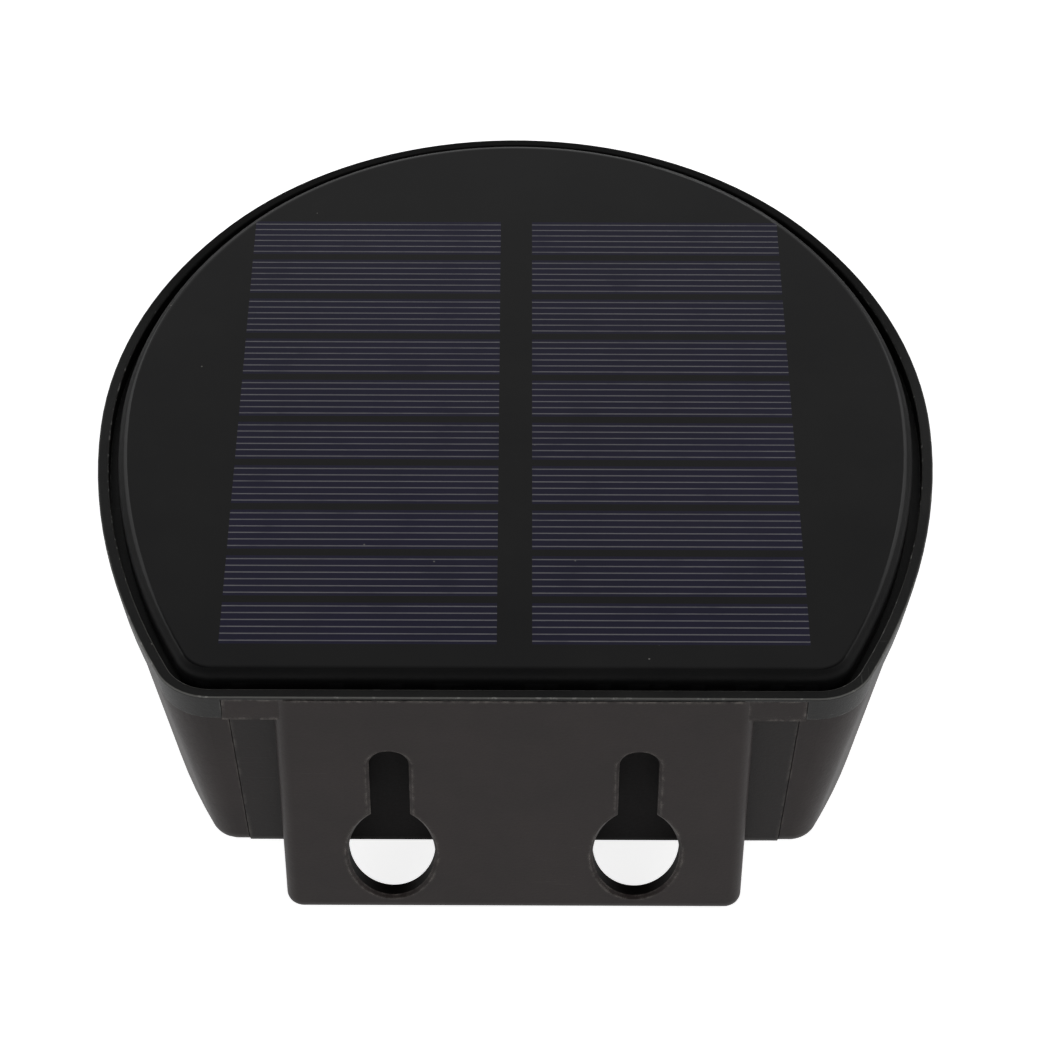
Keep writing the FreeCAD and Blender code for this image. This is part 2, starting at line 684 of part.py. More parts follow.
def makeRearCover():
    # flat back wall, a band that fills the gap in the skirt, and the mounting plate
    body = newBody("coverBody")
    wall = coverTrapezium(body, "coverOutline", 0)
    pad(body, "coverPad", wall, "Sizes.cover_thickness")
    low = -value("body_height")
    face = -value("cover_face_inset")
    roundEdges(body, "coverFootEdge",
               lambda edge: onLevel(edge, low) and abs(edge.BoundBox.YMin - face) < 1e-4
               and abs(edge.BoundBox.YMax - face) < 1e-4, "Sizes.bottom_fillet * 0.8")
    plateBody = newBody("plateBody")
    plate = newSketch(plateBody, "plateOutline", "XZ_Plane", "Sizes.plate_thickness")
    half = value("plate_width") / 2
    top = -value("rim_lip")
    foot = top - value("plate_height")
    radius = value("plate_corner_radius")
    turn = math.pi / 2

    def arc(x, start):
        centre = FreeCAD.Vector(x, foot + radius, 0)
        circle = Part.Circle(centre, FreeCAD.Vector(0, 0, 1), radius)
        return Part.ArcOfCircle(circle, start, start + turn)

    def line(x0, z0, x1, z1):
        return Part.LineSegment(FreeCAD.Vector(x0, z0, 0), FreeCAD.Vector(x1, z1, 0))

    plate.addGeometry([
        line(-half, top, -half, foot + radius),
        arc(radius - half, 2 * turn),
        line(radius - half, foot, half - radius, foot),
        arc(half - radius, 3 * turn),
        line(half, foot + radius, half, top),
        line(half, top, -half, top),
    ], False)
    for edge in (0, 1, 2, 3):
        hold(plate, "Tangent", edge, 2, edge + 1, 1)
    hold(plate, "Coincident", 4, 2, 5, 1)
    hold(plate, "Coincident", 5, 2, 0, 1)
    hold(plate, "Vertical", 0)
    hold(plate, "Vertical", 4)
    hold(plate, "Horizontal", 5)
    hold(plate, "Radius", 1, radius, "Sizes.plate_corner_radius")
    hold(plate, "Radius", 3, radius, "Sizes.plate_corner_radius")
    hold(plate, "DistanceX", 0, 1, -1, 1, half, "Sizes.plate_width / 2")
    hold(plate, "DistanceX", -1, 1, 4, 1, half, "Sizes.plate_width / 2")
    hold(plate, "DistanceY", 0, 1, -1, 1, -top, "Sizes.rim_lip")
    hold(plate, "DistanceY", 2, 1, -1, 1, -foot, formula("rim_lip", "plate_height"))
    pad(plateBody, "platePad", plate, "Sizes.plate_thickness", reverse=True)
    roundEdges(plateBody, "plateEdge",
               lambda edge: abs(edge.BoundBox.YMin) < 1e-4 and edge.BoundBox.ZMin < top - 1
               and abs(edge.BoundBox.YMax) < 1e-4, "Sizes.plate_edge_radius")

    bandDepth = "%s - Sizes.skirt_draft / 2" % formula("band_thickness")
    band = doc.addObject("Part::Box", "coverBand")
    bind(band, Length="Sizes.cover_top_width", Width=bandDepth,
         Height=formula("skirt_height", "-rim_lip", "-fit_gap"))
    place(band, "-Sizes.cover_top_width / 2", "-Sizes.band_thickness", skirtFoot)
    ledge = doc.addObject("Part::Box", "coverLedge")
    ledgeDepth = "%s - Sizes.skirt_draft / 2" % formula("cover_face_inset", "cover_thickness")
    bind(ledge, Length="Sizes.cover_top_width", Width=ledgeDepth,
         Height="%s - (%s)" % (shellTop, skirtFoot))
    place(ledge, "-Sizes.cover_top_width / 2",
          "-(%s)" % formula("cover_face_inset", "cover_thickness"), skirtFoot)

    shapes = [body, plateBody, band, ledge]
    for side in (-1, 1):
        x = "%d * (Sizes.plate_width - Sizes.plate_side_wall) / 2" % side
        standDepth = formula("cover_face_inset", "-plate_thickness")
        stand = block("plateSide%d" % (side + 1), "Sizes.plate_side_wall",
                      standDepth + " + Sizes.plate_thickness / 2",
                      formula("plate_height", "-plate_corner_radius", "rim_lip") +
                      " + (%s)" % shellTop, x,
                      "-(%s) / 2 - Sizes.plate_thickness / 4" % formula(
                          "cover_face_inset", "plate_thickness"),
                      "-(%s)" % formula("plate_height", "rim_lip", "-plate_corner_radius"))
        shapes.append(stand)

    relief = block("bandRelief", "Sizes.overall_width", "Sizes.cover_thickness * 2",
                   "Sizes.skirt_height", "0",
                   "-(%s)" % formula("band_thickness", "cover_thickness"), shellTop)
    tools = [relief] + makeKeyhole(-1) + makeKeyhole(1)
    return cutFrom("rear_cover", join("coverWithPlate", shapes), tools)


def makeLens():
    # flange inside the floor, and a raised face that fills the window
    body = newBody("lens")
    flange = outlineSketch(body, "lensFlange", floorTop, ("window_inset", "-lens_flange"),
                           ("window_corner_radius", "lens_flange"),
                           ("window_rear", "-lens_flange"))
    pad(body, "lensFlangePad", flange, "Sizes.lens_flange_thickness")
    face = outlineSketch(body, "lensFace", floorTop, ("window_inset", "fit_gap"),
                         ("window_corner_radius", "-fit_gap"), ("window_rear", "fit_gap"))
    pad(body, "lensFacePad", face, formula("floor", "-lens_recess"), reverse=True)
    return body


def makeReflector():
    # tray with one flared cup for each light-emitting diode
    tray = block("reflectorTray", "2 * (Sizes.led_pitch_x + Sizes.reflector_margin)",
                 "Sizes.led_pitch_y + 2 * Sizes.reflector_margin", "Sizes.reflector_height",
                 "0", ledMiddle, lensTop)
    cups = []
    for number, (x, y) in enumerate(ledSpots):
        cup = doc.addObject("Part::Cone", "cup%d" % number)
        bind(cup, Radius1="Sizes.cup_bottom_radius", Radius2="Sizes.cup_top_radius",
             Height="Sizes.reflector_height")
        cups.append(place(cup, x, y, lensTop))
    return cutFrom("reflector", tray, cups)


def makeLedBoard():
    board = block("ledBoardBlank", "Sizes.led_board_width", "Sizes.led_board_depth",
                  "Sizes.led_board_thickness", "0", ledMiddle, ledBoardFoot)
    return group("led_board", [board])


def makeLeds():
    leds = []
    for number, (x, y) in enumerate(ledSpots):
        leds.append(block("led%d" % number, "Sizes.led_size", "Sizes.led_size",
                          "Sizes.led_height", x, y, "%s - Sizes.led_height" % ledBoardFoot))
    return group("leds", leds)


def makeControlBoard():
    board = block("controlBoardBlank", "Sizes.control_board_width",
                  "Sizes.control_board_depth", "Sizes.control_board_thickness", "0",
                  "-Sizes.control_from_wall", controlFoot)
    return group("control_board", [board])


def makeControlComponents():
    # coil, controller chip and smoothing capacitor under the board
    middle = "-(Sizes.control_from_wall + Sizes.control_board_depth / 5)"
    coil = rod("coil", "Sizes.coil_radius", "Sizes.coil_height", "-Sizes.component_pitch",
               middle, "%s - Sizes.coil_height" % controlFoot)
    chip = block("chip", "Sizes.chip_width", "Sizes.chip_depth", "Sizes.chip_height", "0",
                 middle, "%s - Sizes.chip_height" % controlFoot)
    capacitor = rod("capacitor", "Sizes.capacitor_radius", "Sizes.capacitor_height",
                    "Sizes.component_pitch", middle,
                    "%s - Sizes.capacitor_height" % controlFoot)
    return group("control_components", [coil, chip, capacitor])


def makeBattery():
    middle = "-Sizes.battery_from_wall"
    can = rod("batteryCan", "Sizes.battery_radius", "Sizes.battery_length",
              batteryStart, middle, batteryLevel, ((0, 1, 0), 90))
    nub = rod("batteryNub", "Sizes.battery_nub_radius",
              formula("battery_length", "battery_nub_length"), batteryStart, middle,
              batteryLevel, ((0, 1, 0), 90))
    return join("battery", [can, nub])


def makeBatteryHolder():
    # open-bottomed trough that stands on the floor around the battery window
    length = "%s + 2 * Sizes.holder_wall" % cellRoom
    width = "2 * (%s)" % formula("battery_radius", "holder_gap", "holder_wall")
    middle = "-Sizes.battery_from_wall"
    height = formula("battery_above_floor", "battery_radius", "holder_gap", "holder_wall")
    outside = block("holderOutside", length, width, height, "0", middle, floorTop)
    inside = block("holderInside", cellRoom,
                   "2 * (%s)" % formula("battery_radius", "holder_gap"),
                   formula("battery_above_floor", "battery_radius", "holder_gap"), "0", middle,
                   floorTop)
    exits = []
    for side in (-1, 1):
        exits.append(rod("holderExit%d" % (side + 1), "Sizes.lead_radius * 1.5",
                         "Sizes.holder_wall * 4", "%d * (%s) / 2 - Sizes.holder_wall * 2"
                         % (side, length), middle, leadExitLevel, ((0, 1, 0), 90)))
    return cutFrom("battery_holder", outside, [inside] + exits)


def makeContacts():
    middle = "-Sizes.battery_from_wall"
    contacts = []
    for name, side in (("battery_contact_plus", 1), ("battery_contact_minus", -1)):
        x = "%d * ((%s) / 2 - Sizes.contact_thickness / 2)" % (side, cellRoom)
        plate = block(name + "Plate", "Sizes.contact_thickness", "Sizes.battery_radius * 1.5",
                      "Sizes.battery_radius * 1.5", x, middle,
                      "%s - Sizes.battery_radius * 0.75" % batteryLevel)
        contacts.append(group(name, [plate]))
    return contacts


def flip(names):
    # the same sum with every sign turned round
    return tuple(name[1:] if name.startswith("-") else "-" + name for name in names)


def makeBatterySpring():
    # leaf spring: one leg flat on the minus contact, folded at its end, the other leg
    # slanting across to the cell
    corners = [
        ((), ("-spring_half_height",)),
        ((), ("spring_half_height",)),
        (("spring_strip", "spring_strip"), ("spring_half_height",)),
        (("spring_length",), ("-spring_tip_drop",)),
        (("spring_length",), ("-spring_tip_drop", "-spring_strip")),
        (("spring_length", "-spring_strip"), ("-spring_tip_drop", "-spring_strip")),
        (("spring_strip",), ("spring_half_height", "-spring_strip")),
        (("spring_strip",), ("-spring_half_height",)),
    ]
    body = newBody("battery_spring")
    sketch = newSketch(body, "springProfile", "XY_Plane",
                       "%s - Sizes.spring_width / 2" % batteryLevel)
    points = [FreeCAD.Vector(value(*x), value(*y), 0) for x, y in corners]
    for start, end in zip(points, points[1:] + points[:1]):
        sketch.addGeometry(Part.LineSegment(start, end), False)
    for edge, (x, y) in enumerate(corners):
        hold(sketch, "Coincident", edge, 2, (edge + 1) % 8, 1)
        if x:
            hold(sketch, "DistanceX", -1, 1, edge, 1, value(*x), formula(*x))
        else:
            hold(sketch, "PointOnObject", edge, 1, -2)
        if value(*y) > 0:
            hold(sketch, "DistanceY", -1, 1, edge, 1, value(*y), formula(*y))
        else:
            hold(sketch, "DistanceY", edge, 1, -1, 1, -value(*y), formula(*flip(y)))
    pad(body, "springPad", sketch, "Sizes.spring_width")
    bind(body, Placement_Base_x="%s - Sizes.spring_length" % batteryStart,
         Placement_Base_y="-Sizes.battery_from_wall")
    return body


def makeBatteryDoor():
    leaf = doorPlate("doorLeaf", underside, "Sizes.door_thickness", ())
    ear = rod("doorEar", "Sizes.door_ear_radius", "Sizes.door_thickness", "0", doorScrewY,
              underside)
    hole = rod("doorEarHole", formula("screw_shank_radius", "fit_gap"),
               "Sizes.door_thickness * 2", "0", doorScrewY, underside)
    return cutFrom("battery_door", join("doorWithEar", [leaf, ear]), [hole])


def makeDoorSeal():
    foot = "%s + Sizes.door_thickness" % underside
    middle = "-Sizes.battery_from_wall"
    seal = doorPlate("sealSheet", foot, "Sizes.door_seal_thickness", ())
    hole = block("sealHole", "Sizes.door_width - 2 * Sizes.door_ledge",
                 "Sizes.door_depth - 2 * Sizes.door_ledge", "Sizes.door_thickness", "0", middle,
                 foot)
    return cutFrom("door_seal", seal, [hole])


def makeScrew(name, x, y, seat, length):
    # pan head below its seat, shank above it, and a cross recess
    head = rod(name + "Head", "Sizes.screw_head_radius", "Sizes.screw_head_height", x, y,
               "%s - Sizes.screw_head_height" % seat)
    shank = rod(name + "Shank", "Sizes.screw_shank_radius", length, x, y, seat)
    slots = []
    for width, depth in (("width", "length"), ("length", "width")):
        slots.append(block(name + "Slot" + width, "Sizes.screw_slot_" + width,
                           "Sizes.screw_slot_" + depth, "Sizes.screw_slot_depth", x, y,
                           "%s - Sizes.screw_head_height" % seat))
    return cutFrom(name, join(name + "Blank", [head, shank]), slots)


def makeSwitch():
    case = block("switchCase", "Sizes.switch_width", "Sizes.switch_length",
                 "Sizes.switch_height", "Sizes.switch_x", "-Sizes.switch_from_wall", floorTop)
    knobFoot = "%s - Sizes.knob_proud" % underside
    knob = block("knobBlock", "Sizes.knob_width", "Sizes.knob_length",
                 "%s - (%s) - Sizes.fit_gap / 2" % (floorTop, knobFoot), "Sizes.switch_x",
                 "-Sizes.switch_from_wall - Sizes.switch_travel / 2", knobFoot)
    return group("switch_body", [case]), group("switch_knob", [knob])


def leadPath(points):
    # straight runs through the points, joined by arcs that take 0.45 of the shorter run
    corners = [FreeCAD.Vector(*point) for point in points]
    edges = []
    bends = []
    start = corners[0]
    for before, corner, after in zip(corners, corners[1:], corners[2:]):
        reach = 0.45 * min(before.distanceToPoint(corner), after.distanceToPoint(corner))
        back = (before - corner).normalize()
        ahead = (after - corner).normalize()
        half = back.getAngle(ahead) / 2
        bend = reach * math.tan(half)
        first = corner + back * reach
        last = corner + ahead * reach
        middle = (back + ahead).normalize()
        crown = corner + middle * (bend / math.sin(half) - bend)
        edges.append(Part.makeLine(start, first))
        edges.append(Part.Arc(first, crown, last).toShape())
        bends.append(bend)
        start = last
    edges.append(Part.makeLine(start, corners[-1]))
    return Part.Wire(edges), bends


def makeLead(name, routes):
    leads = []
    for points in routes:
        path, bends = leadPath(points)
        along = FreeCAD.Vector(*points[1]) - FreeCAD.Vector(*points[0])
        ring = Part.Wire([Part.makeCircle(value("lead_radius"), FreeCAD.Vector(*points[0]), along)])
        leads.append(path.makePipeShell([ring], True, False))
        print("%-14s length %5.1f mm, bend radii %s mm"
              % (name, path.Length, ", ".join("%.1f" % bend for bend in bends)))
    lead = doc.addObject("Part::Feature", name)
    lead.Shape = Part.makeCompound(leads)
    return lead


def panelRoutes(board):
    # from the solar board down through the cap, forward, and up to the control board
    panel = -value("recess_depth", "-adhesive_thickness")
    low = board - value("panel_lead_drop")
    back = -value("lead_hole_from_wall")
    front = back - value("panel_lead_reach")
    routes = []
    for side in (-1, 1):
        x = side * value("lead_pair_pitch") / 2
        routes.append([(x, back, panel), (x, back, low), (x, front, low), (x, front, board)])
    return routes


def batteryRoutes(board, base):
    # out of both ends of the holder, forward, inward, and up to the control board
    level = base + value("battery_above_floor") + value("battery_radius") * 0.6
    start = value("battery_length", "battery_nub_length", "spring_length", "contact_thickness",
                  "contact_thickness") / 2
    out = start + value("battery_lead_reach")
    row = -value("battery_from_wall")
    front = -value("control_from_wall")
    end = value("control_board_width") / 2 - 3
    routes = []
    for side in (-1, 1):
        routes.append([(side * start, row, level), (side * out, row, level),
                       (side * out, front, level), (side * end, front, level),
                       (side * end, front, board)])
    return routes


def ledRoutes(board, base):
    # up from the diodes' board, back, and up to the control board
    foot = base + value("lens_flange_thickness", "reflector_height", "led_board_thickness")
    middle = (foot + board) / 2
    front = -value("control_from_wall") - 13
    back = front + 9
    routes = []
    for x in (-4, 4):
        routes.append([(x, front, foot), (x, front, middle), (x, back, middle), (x, back, board)])
    return routes


def switchRoutes(board, base):
    # up from the switch, forward, inward on two levels, and up to the control board
    foot = base + value("switch_height")
    end = value("control_board_width") / 2 - 3
    routes = []
    for number, (besideX, besideY, front, across) in enumerate(((-1.4, -1, 5, 1.5),
                                                                (0.4, 1, 2.6, -1.6))):
        x = value("switch_x") + besideX
        y = besideY - value("switch_from_wall")
        level = board - value("switch_lead_drop") - number * value("switch_lead_step")
        frontY = -value("control_from_wall") - front
        routes.append([(x, y, foot), (x, y, level), (x, frontY, level),
                       (end + across, frontY, level), (end + across, frontY, board)])
    return routes


def makeLeads():
    board = -value("recess_depth", "cap_floor", "standoff_height", "control_board_thickness")
    base = -value("body_height", "-floor")
    return [makeLead("panel_leads", panelRoutes(board)),
            makeLead("battery_leads", batteryRoutes(board, base)),
            makeLead("led_leads", ledRoutes(board, base)),
            makeLead("switch_leads", switchRoutes(board, base))]


strips = makeSolarCells()
cellGroup = group("solar_cells", strips)
capScrews = []
for number, (x, y) in enumerate(screwSpots):
    capScrews.append(makeScrew("capScrew%d" % number, x, y, seatLevel, "Sizes.screw_length"))
pieces = [
    makeCapFrame(),
    makeAdhesive(),
    makePanelLayer("panel_board", boardFoot, "Sizes.board_thickness", panelInset),
    cellGroup,
    makeResin(strips),
    makeGasket(),
    makeBodyShell(),
    makeRearCover(),
    makeLens(),
    makeReflector(),
    makeLedBoard(),
    makeLeds(),
    makeControlBoard(),
    makeControlComponents(),
    makeBatteryHolder(),
    makeBattery(),
    makeBatterySpring(),
    makeBatteryDoor(),
    makeDoorSeal(),
    group("door_screw", [makeScrew("doorScrew", "0", doorScrewY, underside,
                                   "Sizes.door_screw_length")]),
    group("cap_screws", capScrews),
]
pieces.extend(makeContacts())
pieces.extend(makeSwitch())
pieces.extend(makeLeads())

for piece in pieces:
    piece.Label = piece.Name
    piece.setExpression("Placement.Base.z", rimHeight)
doc.recompute()

for thing in doc.Objects:
    if "Invalid" in thing.State or "Error" in thing.State:
        raise RuntimeError("%s did not build: %s" % (thing.Label, thing.State))
os.makedirs("parts", exist_ok=True)
for piece in pieces:
    shape = piece.Shape
    if shape.isNull() or not shape.isValid() or not shape.Solids:
        raise RuntimeError("%s has no valid solid" % piece.Label)
    shape.exportStep("parts/%s.step" % piece.Label)
    print("%-24s %8.1f mm3  %d solids" % (piece.Label, shape.Volume, len(shape.Solids)))
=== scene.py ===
import math
import bmesh
import bpy
import numpy as np
from mathutils import Matrix, Vector


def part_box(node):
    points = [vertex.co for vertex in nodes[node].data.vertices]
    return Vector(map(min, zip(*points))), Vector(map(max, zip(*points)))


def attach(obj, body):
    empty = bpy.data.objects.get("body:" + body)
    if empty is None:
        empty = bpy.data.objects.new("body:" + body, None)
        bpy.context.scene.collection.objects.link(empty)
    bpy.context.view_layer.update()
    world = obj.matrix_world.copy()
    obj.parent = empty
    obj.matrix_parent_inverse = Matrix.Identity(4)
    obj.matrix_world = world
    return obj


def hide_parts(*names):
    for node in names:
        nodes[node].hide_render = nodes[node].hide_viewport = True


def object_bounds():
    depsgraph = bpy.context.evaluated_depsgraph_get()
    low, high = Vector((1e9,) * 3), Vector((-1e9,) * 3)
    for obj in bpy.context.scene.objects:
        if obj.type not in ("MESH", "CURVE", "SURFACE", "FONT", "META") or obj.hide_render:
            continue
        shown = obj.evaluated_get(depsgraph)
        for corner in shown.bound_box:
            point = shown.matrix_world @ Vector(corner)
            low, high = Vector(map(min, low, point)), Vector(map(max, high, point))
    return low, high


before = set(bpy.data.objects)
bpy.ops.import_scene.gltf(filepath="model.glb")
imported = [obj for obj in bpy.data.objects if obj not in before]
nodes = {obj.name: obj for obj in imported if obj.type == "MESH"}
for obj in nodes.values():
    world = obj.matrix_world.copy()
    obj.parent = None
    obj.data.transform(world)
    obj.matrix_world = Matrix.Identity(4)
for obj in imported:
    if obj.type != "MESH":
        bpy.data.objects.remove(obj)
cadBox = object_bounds()
print("model loaded with", len(nodes), "pieces")


def shade(red, green, blue):
    # a display colour of 0 to 255 as the linear colour that a shader wants
    parts = []
    for part in (red, green, blue):
        part = part / 255
        parts.append(part / 12.92 if part <= 0.04045 else ((part + 0.055) / 1.055) ** 2.4)
    return (*parts, 1.0)


def addNode(tree, kind, inputs=None, **settings):
    # an input that is another node's output is linked, anything else is set
    made = tree.nodes.new(kind)
    for name, setting in settings.items():
        setattr(made, name, setting)
    for name, given in (inputs or {}).items():
        if isinstance(given, bpy.types.NodeSocket):
            tree.links.new(given, made.inputs[name])
        else:
            made.inputs[name].default_value = given
    return made


def calc(tree, operation, first, second=0.0, third=0.0):
    return addNode(tree, "ShaderNodeMath", {0: first, 1: second, 2: third},
                   operation=operation).outputs[0]


def ramp(tree, amount, low, high, toLow=0.0, toHigh=1.0):
    # smooth step from one level to another
    return addNode(tree, "ShaderNodeMapRange", {"Value": amount, "From Min": low, "From Max": high,
                                                "To Min": toLow, "To Max": toHigh},
                   interpolation_type="SMOOTHSTEP").outputs["Result"]


def blendColour(tree, amount, first, second):
    return addNode(tree, "ShaderNodeMix", {0: amount, 6: first, 7: second},
                   data_type="RGBA").outputs[2]


def noise(tree, place, perMetre, detail=2.0, roughness=0.5):
    return addNode(tree, "ShaderNodeTexNoise", {"Vector": place, "Scale": perMetre,
                                                "Detail": detail, "Roughness": roughness}).outputs[0]


def newGroup(name, inputs, outputs):
    group = bpy.data.node_groups.new(name, "ShaderNodeTree")
    for label, start in inputs.items():
        socket = group.interface.new_socket(label, in_out="INPUT", socket_type="NodeSocketFloat")
        socket.default_value = start
    for label in outputs:
        group.interface.new_socket(label, in_out="OUTPUT", socket_type="NodeSocketFloat")
    given = addNode(group, "NodeGroupInput").outputs
    result = addNode(group, "NodeGroupOutput").inputs
    place = addNode(group, "ShaderNodeTexCoord").outputs["Object"]
    return group, given, result, place


def useGroup(tree, group, **inputs):
    return addNode(tree, "ShaderNodeGroup", inputs, node_tree=group).outputs


def newMaterial(name):
    material = bpy.data.materials.new(name)
    material.use_nodes = True
    tree = material.node_tree
    return material, tree, tree.nodes["Principled BSDF"]


def connect(tree, shader, **sockets):
    names = {"colour": "Base Color", "roughness": "Roughness", "normal": "Normal"}
    for key, source in sockets.items():
        tree.links.new(source, shader.inputs[names[key]])


def bumpFrom(tree, height, strength, distance):
    return addNode(tree, "ShaderNodeBump", {"Height": height, "Strength": strength,
                                            "Distance": distance}).outputs["Normal"]


def dress(name, material):
    # gives a finish to a piece that came with the model
    piece = nodes[name]
    if not piece.material_slots:
        piece.data.materials.append(material)
    for place in piece.material_slots:
        place.material = material


def makeMouldedGrain():
    # spark-eroded grain of moulded plastic: fine noise for the height, slow noise for the tone
    group, given, result, place = newGroup("MouldedGrain", {"Size": 0.4}, ["Height", "Tone"])
    perMetre = calc(group, "DIVIDE", 1000.0, given["Size"])
    fine = noise(group, place, perMetre, 3.0, 0.65)
    slow = noise(group, place, calc(group, "DIVIDE", perMetre, 26.0), 4.0, 0.6)
    group.links.new(fine, result["Height"])
    group.links.new(ramp(group, slow, 0.3, 0.7), result["Tone"])
    return group


# the match of two normals at an edge, which noise counts as a patch or a nick, which lean of
# a face counts as a rim, and where along Y in metres the rim's line turns from faint to full
edgeWearLook = {"match": (0.995, 0.86), "patch": (0.38, 0.68), "nick": (0.55, 0.62),
                "leanLow": (0.2, 0.45), "leanHigh": (0.98, 0.85), "rimAlong": (-0.03, -0.012),
                "rimShare": (0.12, 0.5), "samples": 6}


def makeEdgeWear(look):
    # a rounded normal differs from the true one only beside an edge; slow noise breaks it up
    group, given, result, place = newGroup(
        "EdgeWear", {"Radius": 0.4, "Patch": 4.0, "Amount": 0.5}, ["Mask", "Rim"])
    soft = addNode(group, "ShaderNodeBevel",
                   {"Radius": calc(group, "DIVIDE", given["Radius"], 1000.0)},
                   samples=look["samples"])
    true = addNode(group, "ShaderNodeNewGeometry")
    match = addNode(group, "ShaderNodeVectorMath", {0: soft.outputs[0], 1: true.outputs["Normal"]},
                    operation="DOT_PRODUCT").outputs["Value"]
    edge = ramp(group, match, *look["match"])
    patches = noise(group, place, calc(group, "DIVIDE", 1000.0, given["Patch"]), 6.0, 0.7)
    broken = calc(group, "MULTIPLY", edge, ramp(group, patches, *look["patch"]))
    mask = calc(group, "MULTIPLY", broken, given["Amount"])
    group.links.new(mask, result["Mask"])
    # a rim's rounded edge is where a face leans between level and upright
    lean = addNode(group, "ShaderNodeSeparateXYZ", {0: true.outputs["Normal"]}).outputs["Z"]
    curve = calc(group, "MULTIPLY", ramp(group, lean, *look["leanLow"]),
                 ramp(group, lean, *look["leanHigh"]))
    along = addNode(group, "ShaderNodeSeparateXYZ", {0: place}).outputs["Y"]
    rear = ramp(group, along, *look["rimAlong"], *look["rimShare"])
    nicked = calc(group, "MAXIMUM", rear, ramp(group, patches, *look["nick"]))
    group.links.new(calc(group, "MULTIPLY", curve, nicked), result["Rim"])
    return group


dustLook = {"speckEdge": (0.12, 0.06), "upward": (0.2, 0.95), "cloud": (0.42, 0.72),
            "cloudPerMetre": 60.0}


def makeSettledDust(look):
    # specks are the middles of a few random cells; the film lies on faces that look up
    group, given, result, place = newGroup(
        "SettledDust", {"Speck": 1.6, "Share": 0.12, "Film": 0.3}, ["Specks", "Film"])
    cells = addNode(group, "ShaderNodeTexVoronoi",
                    {"Vector": place, "Scale": calc(group, "DIVIDE", 1000.0, given["Speck"])})
    near = ramp(group, cells.outputs["Distance"], *look["speckEdge"])
    pick = addNode(group, "ShaderNodeSeparateColor", {0: cells.outputs["Color"]}).outputs[0]
    chosen = calc(group, "LESS_THAN", pick, given["Share"])
    facing = addNode(group, "ShaderNodeNewGeometry").outputs["Normal"]
    up = addNode(group, "ShaderNodeSeparateXYZ", {0: facing}).outputs["Z"]
    upward = ramp(group, up, *look["upward"])
    cloud = ramp(group, noise(group, place, look["cloudPerMetre"], 6.0, 0.6), *look["cloud"])
    specks = calc(group, "MULTIPLY", calc(group, "MULTIPLY", near, chosen), upward)
    film = calc(group, "MULTIPLY", calc(group, "MULTIPLY", cloud, upward), given["Film"])
    group.links.new(specks, result["Specks"])
    group.links.new(film, result["Film"])
    return group


scuffLook = {"patchPerMetre": 45.0, "patch": (0.5, 0.7), "mark": (0.66, 0.74)}


def makeScuffs(look):
    # two sets of long thin marks, one along x and one along y, kept to a few patches
    group, given, result, place = newGroup(
        "Scuffs", {"Length": 9.0, "Width": 0.35, "Amount": 0.5}, ["Mask"])
    long = calc(group, "DIVIDE", 1000.0, given["Length"])
    thin = calc(group, "DIVIDE", 1000.0, given["Width"])
    patch = ramp(group, noise(group, place, look["patchPerMetre"], 3.0, 0.6), *look["patch"])
    marks = None
    for first, second in ((long, thin), (thin, long)):
        stretch = addNode(group, "ShaderNodeCombineXYZ", {"X": first, "Y": second, "Z": thin})
        laid = addNode(group, "ShaderNodeVectorMath", {0: place, 1: stretch.outputs[0]},
                       operation="MULTIPLY").outputs[0]
        mark = ramp(group, noise(group, laid, 1.0, 2.0, 0.5), *look["mark"])
        marks = mark if marks is None else calc(group, "MAXIMUM", marks, mark)
    mask = calc(group, "MULTIPLY", calc(group, "MULTIPLY", marks, patch), given["Amount"])
    group.links.new(mask, result["Mask"])
    return group


# the panel's layout in millimetres
panelLook = {"laneHalf": 2.4, "columnEdge": 40.1, "firstStrip": 8.4, "strips": 10.0,
             "stripPitch": 9.006, "stripDepth": 7.7, "firstLine": 0.6, "linePitch": 1.29}


def makeFingerLines(look):
    # distance from the bare lane picks the column, distance from the wall picks the strip,
    # and the place inside the strip is compared with six line middles
    group, given, result, place = newGroup("FingerLines", {"Width": 0.16}, ["Line", "Cell"])
    parts = addNode(group, "ShaderNodeSeparateXYZ", {0: place}).outputs
    across = calc(group, "MULTIPLY", calc(group, "ABSOLUTE", parts["X"]), 1000.0)
    column = calc(group, "MULTIPLY", calc(group, "GREATER_THAN", across, look["laneHalf"]),
                  calc(group, "LESS_THAN", across, look["columnEdge"]))
    away = calc(group, "MULTIPLY_ADD", parts["Y"], -1000.0, -look["firstStrip"])
    strips = calc(group, "DIVIDE", away, look["stripPitch"])
    inside = calc(group, "MULTIPLY", calc(group, "GREATER_THAN", strips, 0.0),
                  calc(group, "LESS_THAN", strips, look["strips"]))
    inside = calc(group, "MULTIPLY", inside, column)
    along = calc(group, "MULTIPLY", calc(group, "FRACT", strips), look["stripPitch"])
    cell = calc(group, "MULTIPLY", inside, calc(group, "LESS_THAN", along, look["stripDepth"]))
    count = calc(group, "DIVIDE", calc(group, "SUBTRACT", along, look["firstLine"]),
                 look["linePitch"])
    nearest = calc(group, "ROUND", count)
    off = calc(group, "MULTIPLY", calc(group, "ABSOLUTE", calc(group, "SUBTRACT", count, nearest)),
               look["linePitch"])
    line = calc(group, "LESS_THAN", off, calc(group, "DIVIDE", given["Width"], 2.0))
    group.links.new(calc(group, "MULTIPLY", line, cell), result["Line"])
    group.links.new(cell, result["Cell"])
    return group


mouldedGrain = makeMouldedGrain()
edgeWear = makeEdgeWear(edgeWearLook)
settledDust = makeSettledDust(dustLook)
scuffs = makeScuffs(scuffLook)
fingerLines = makeFingerLines(panelLook)
print("shared effects built")


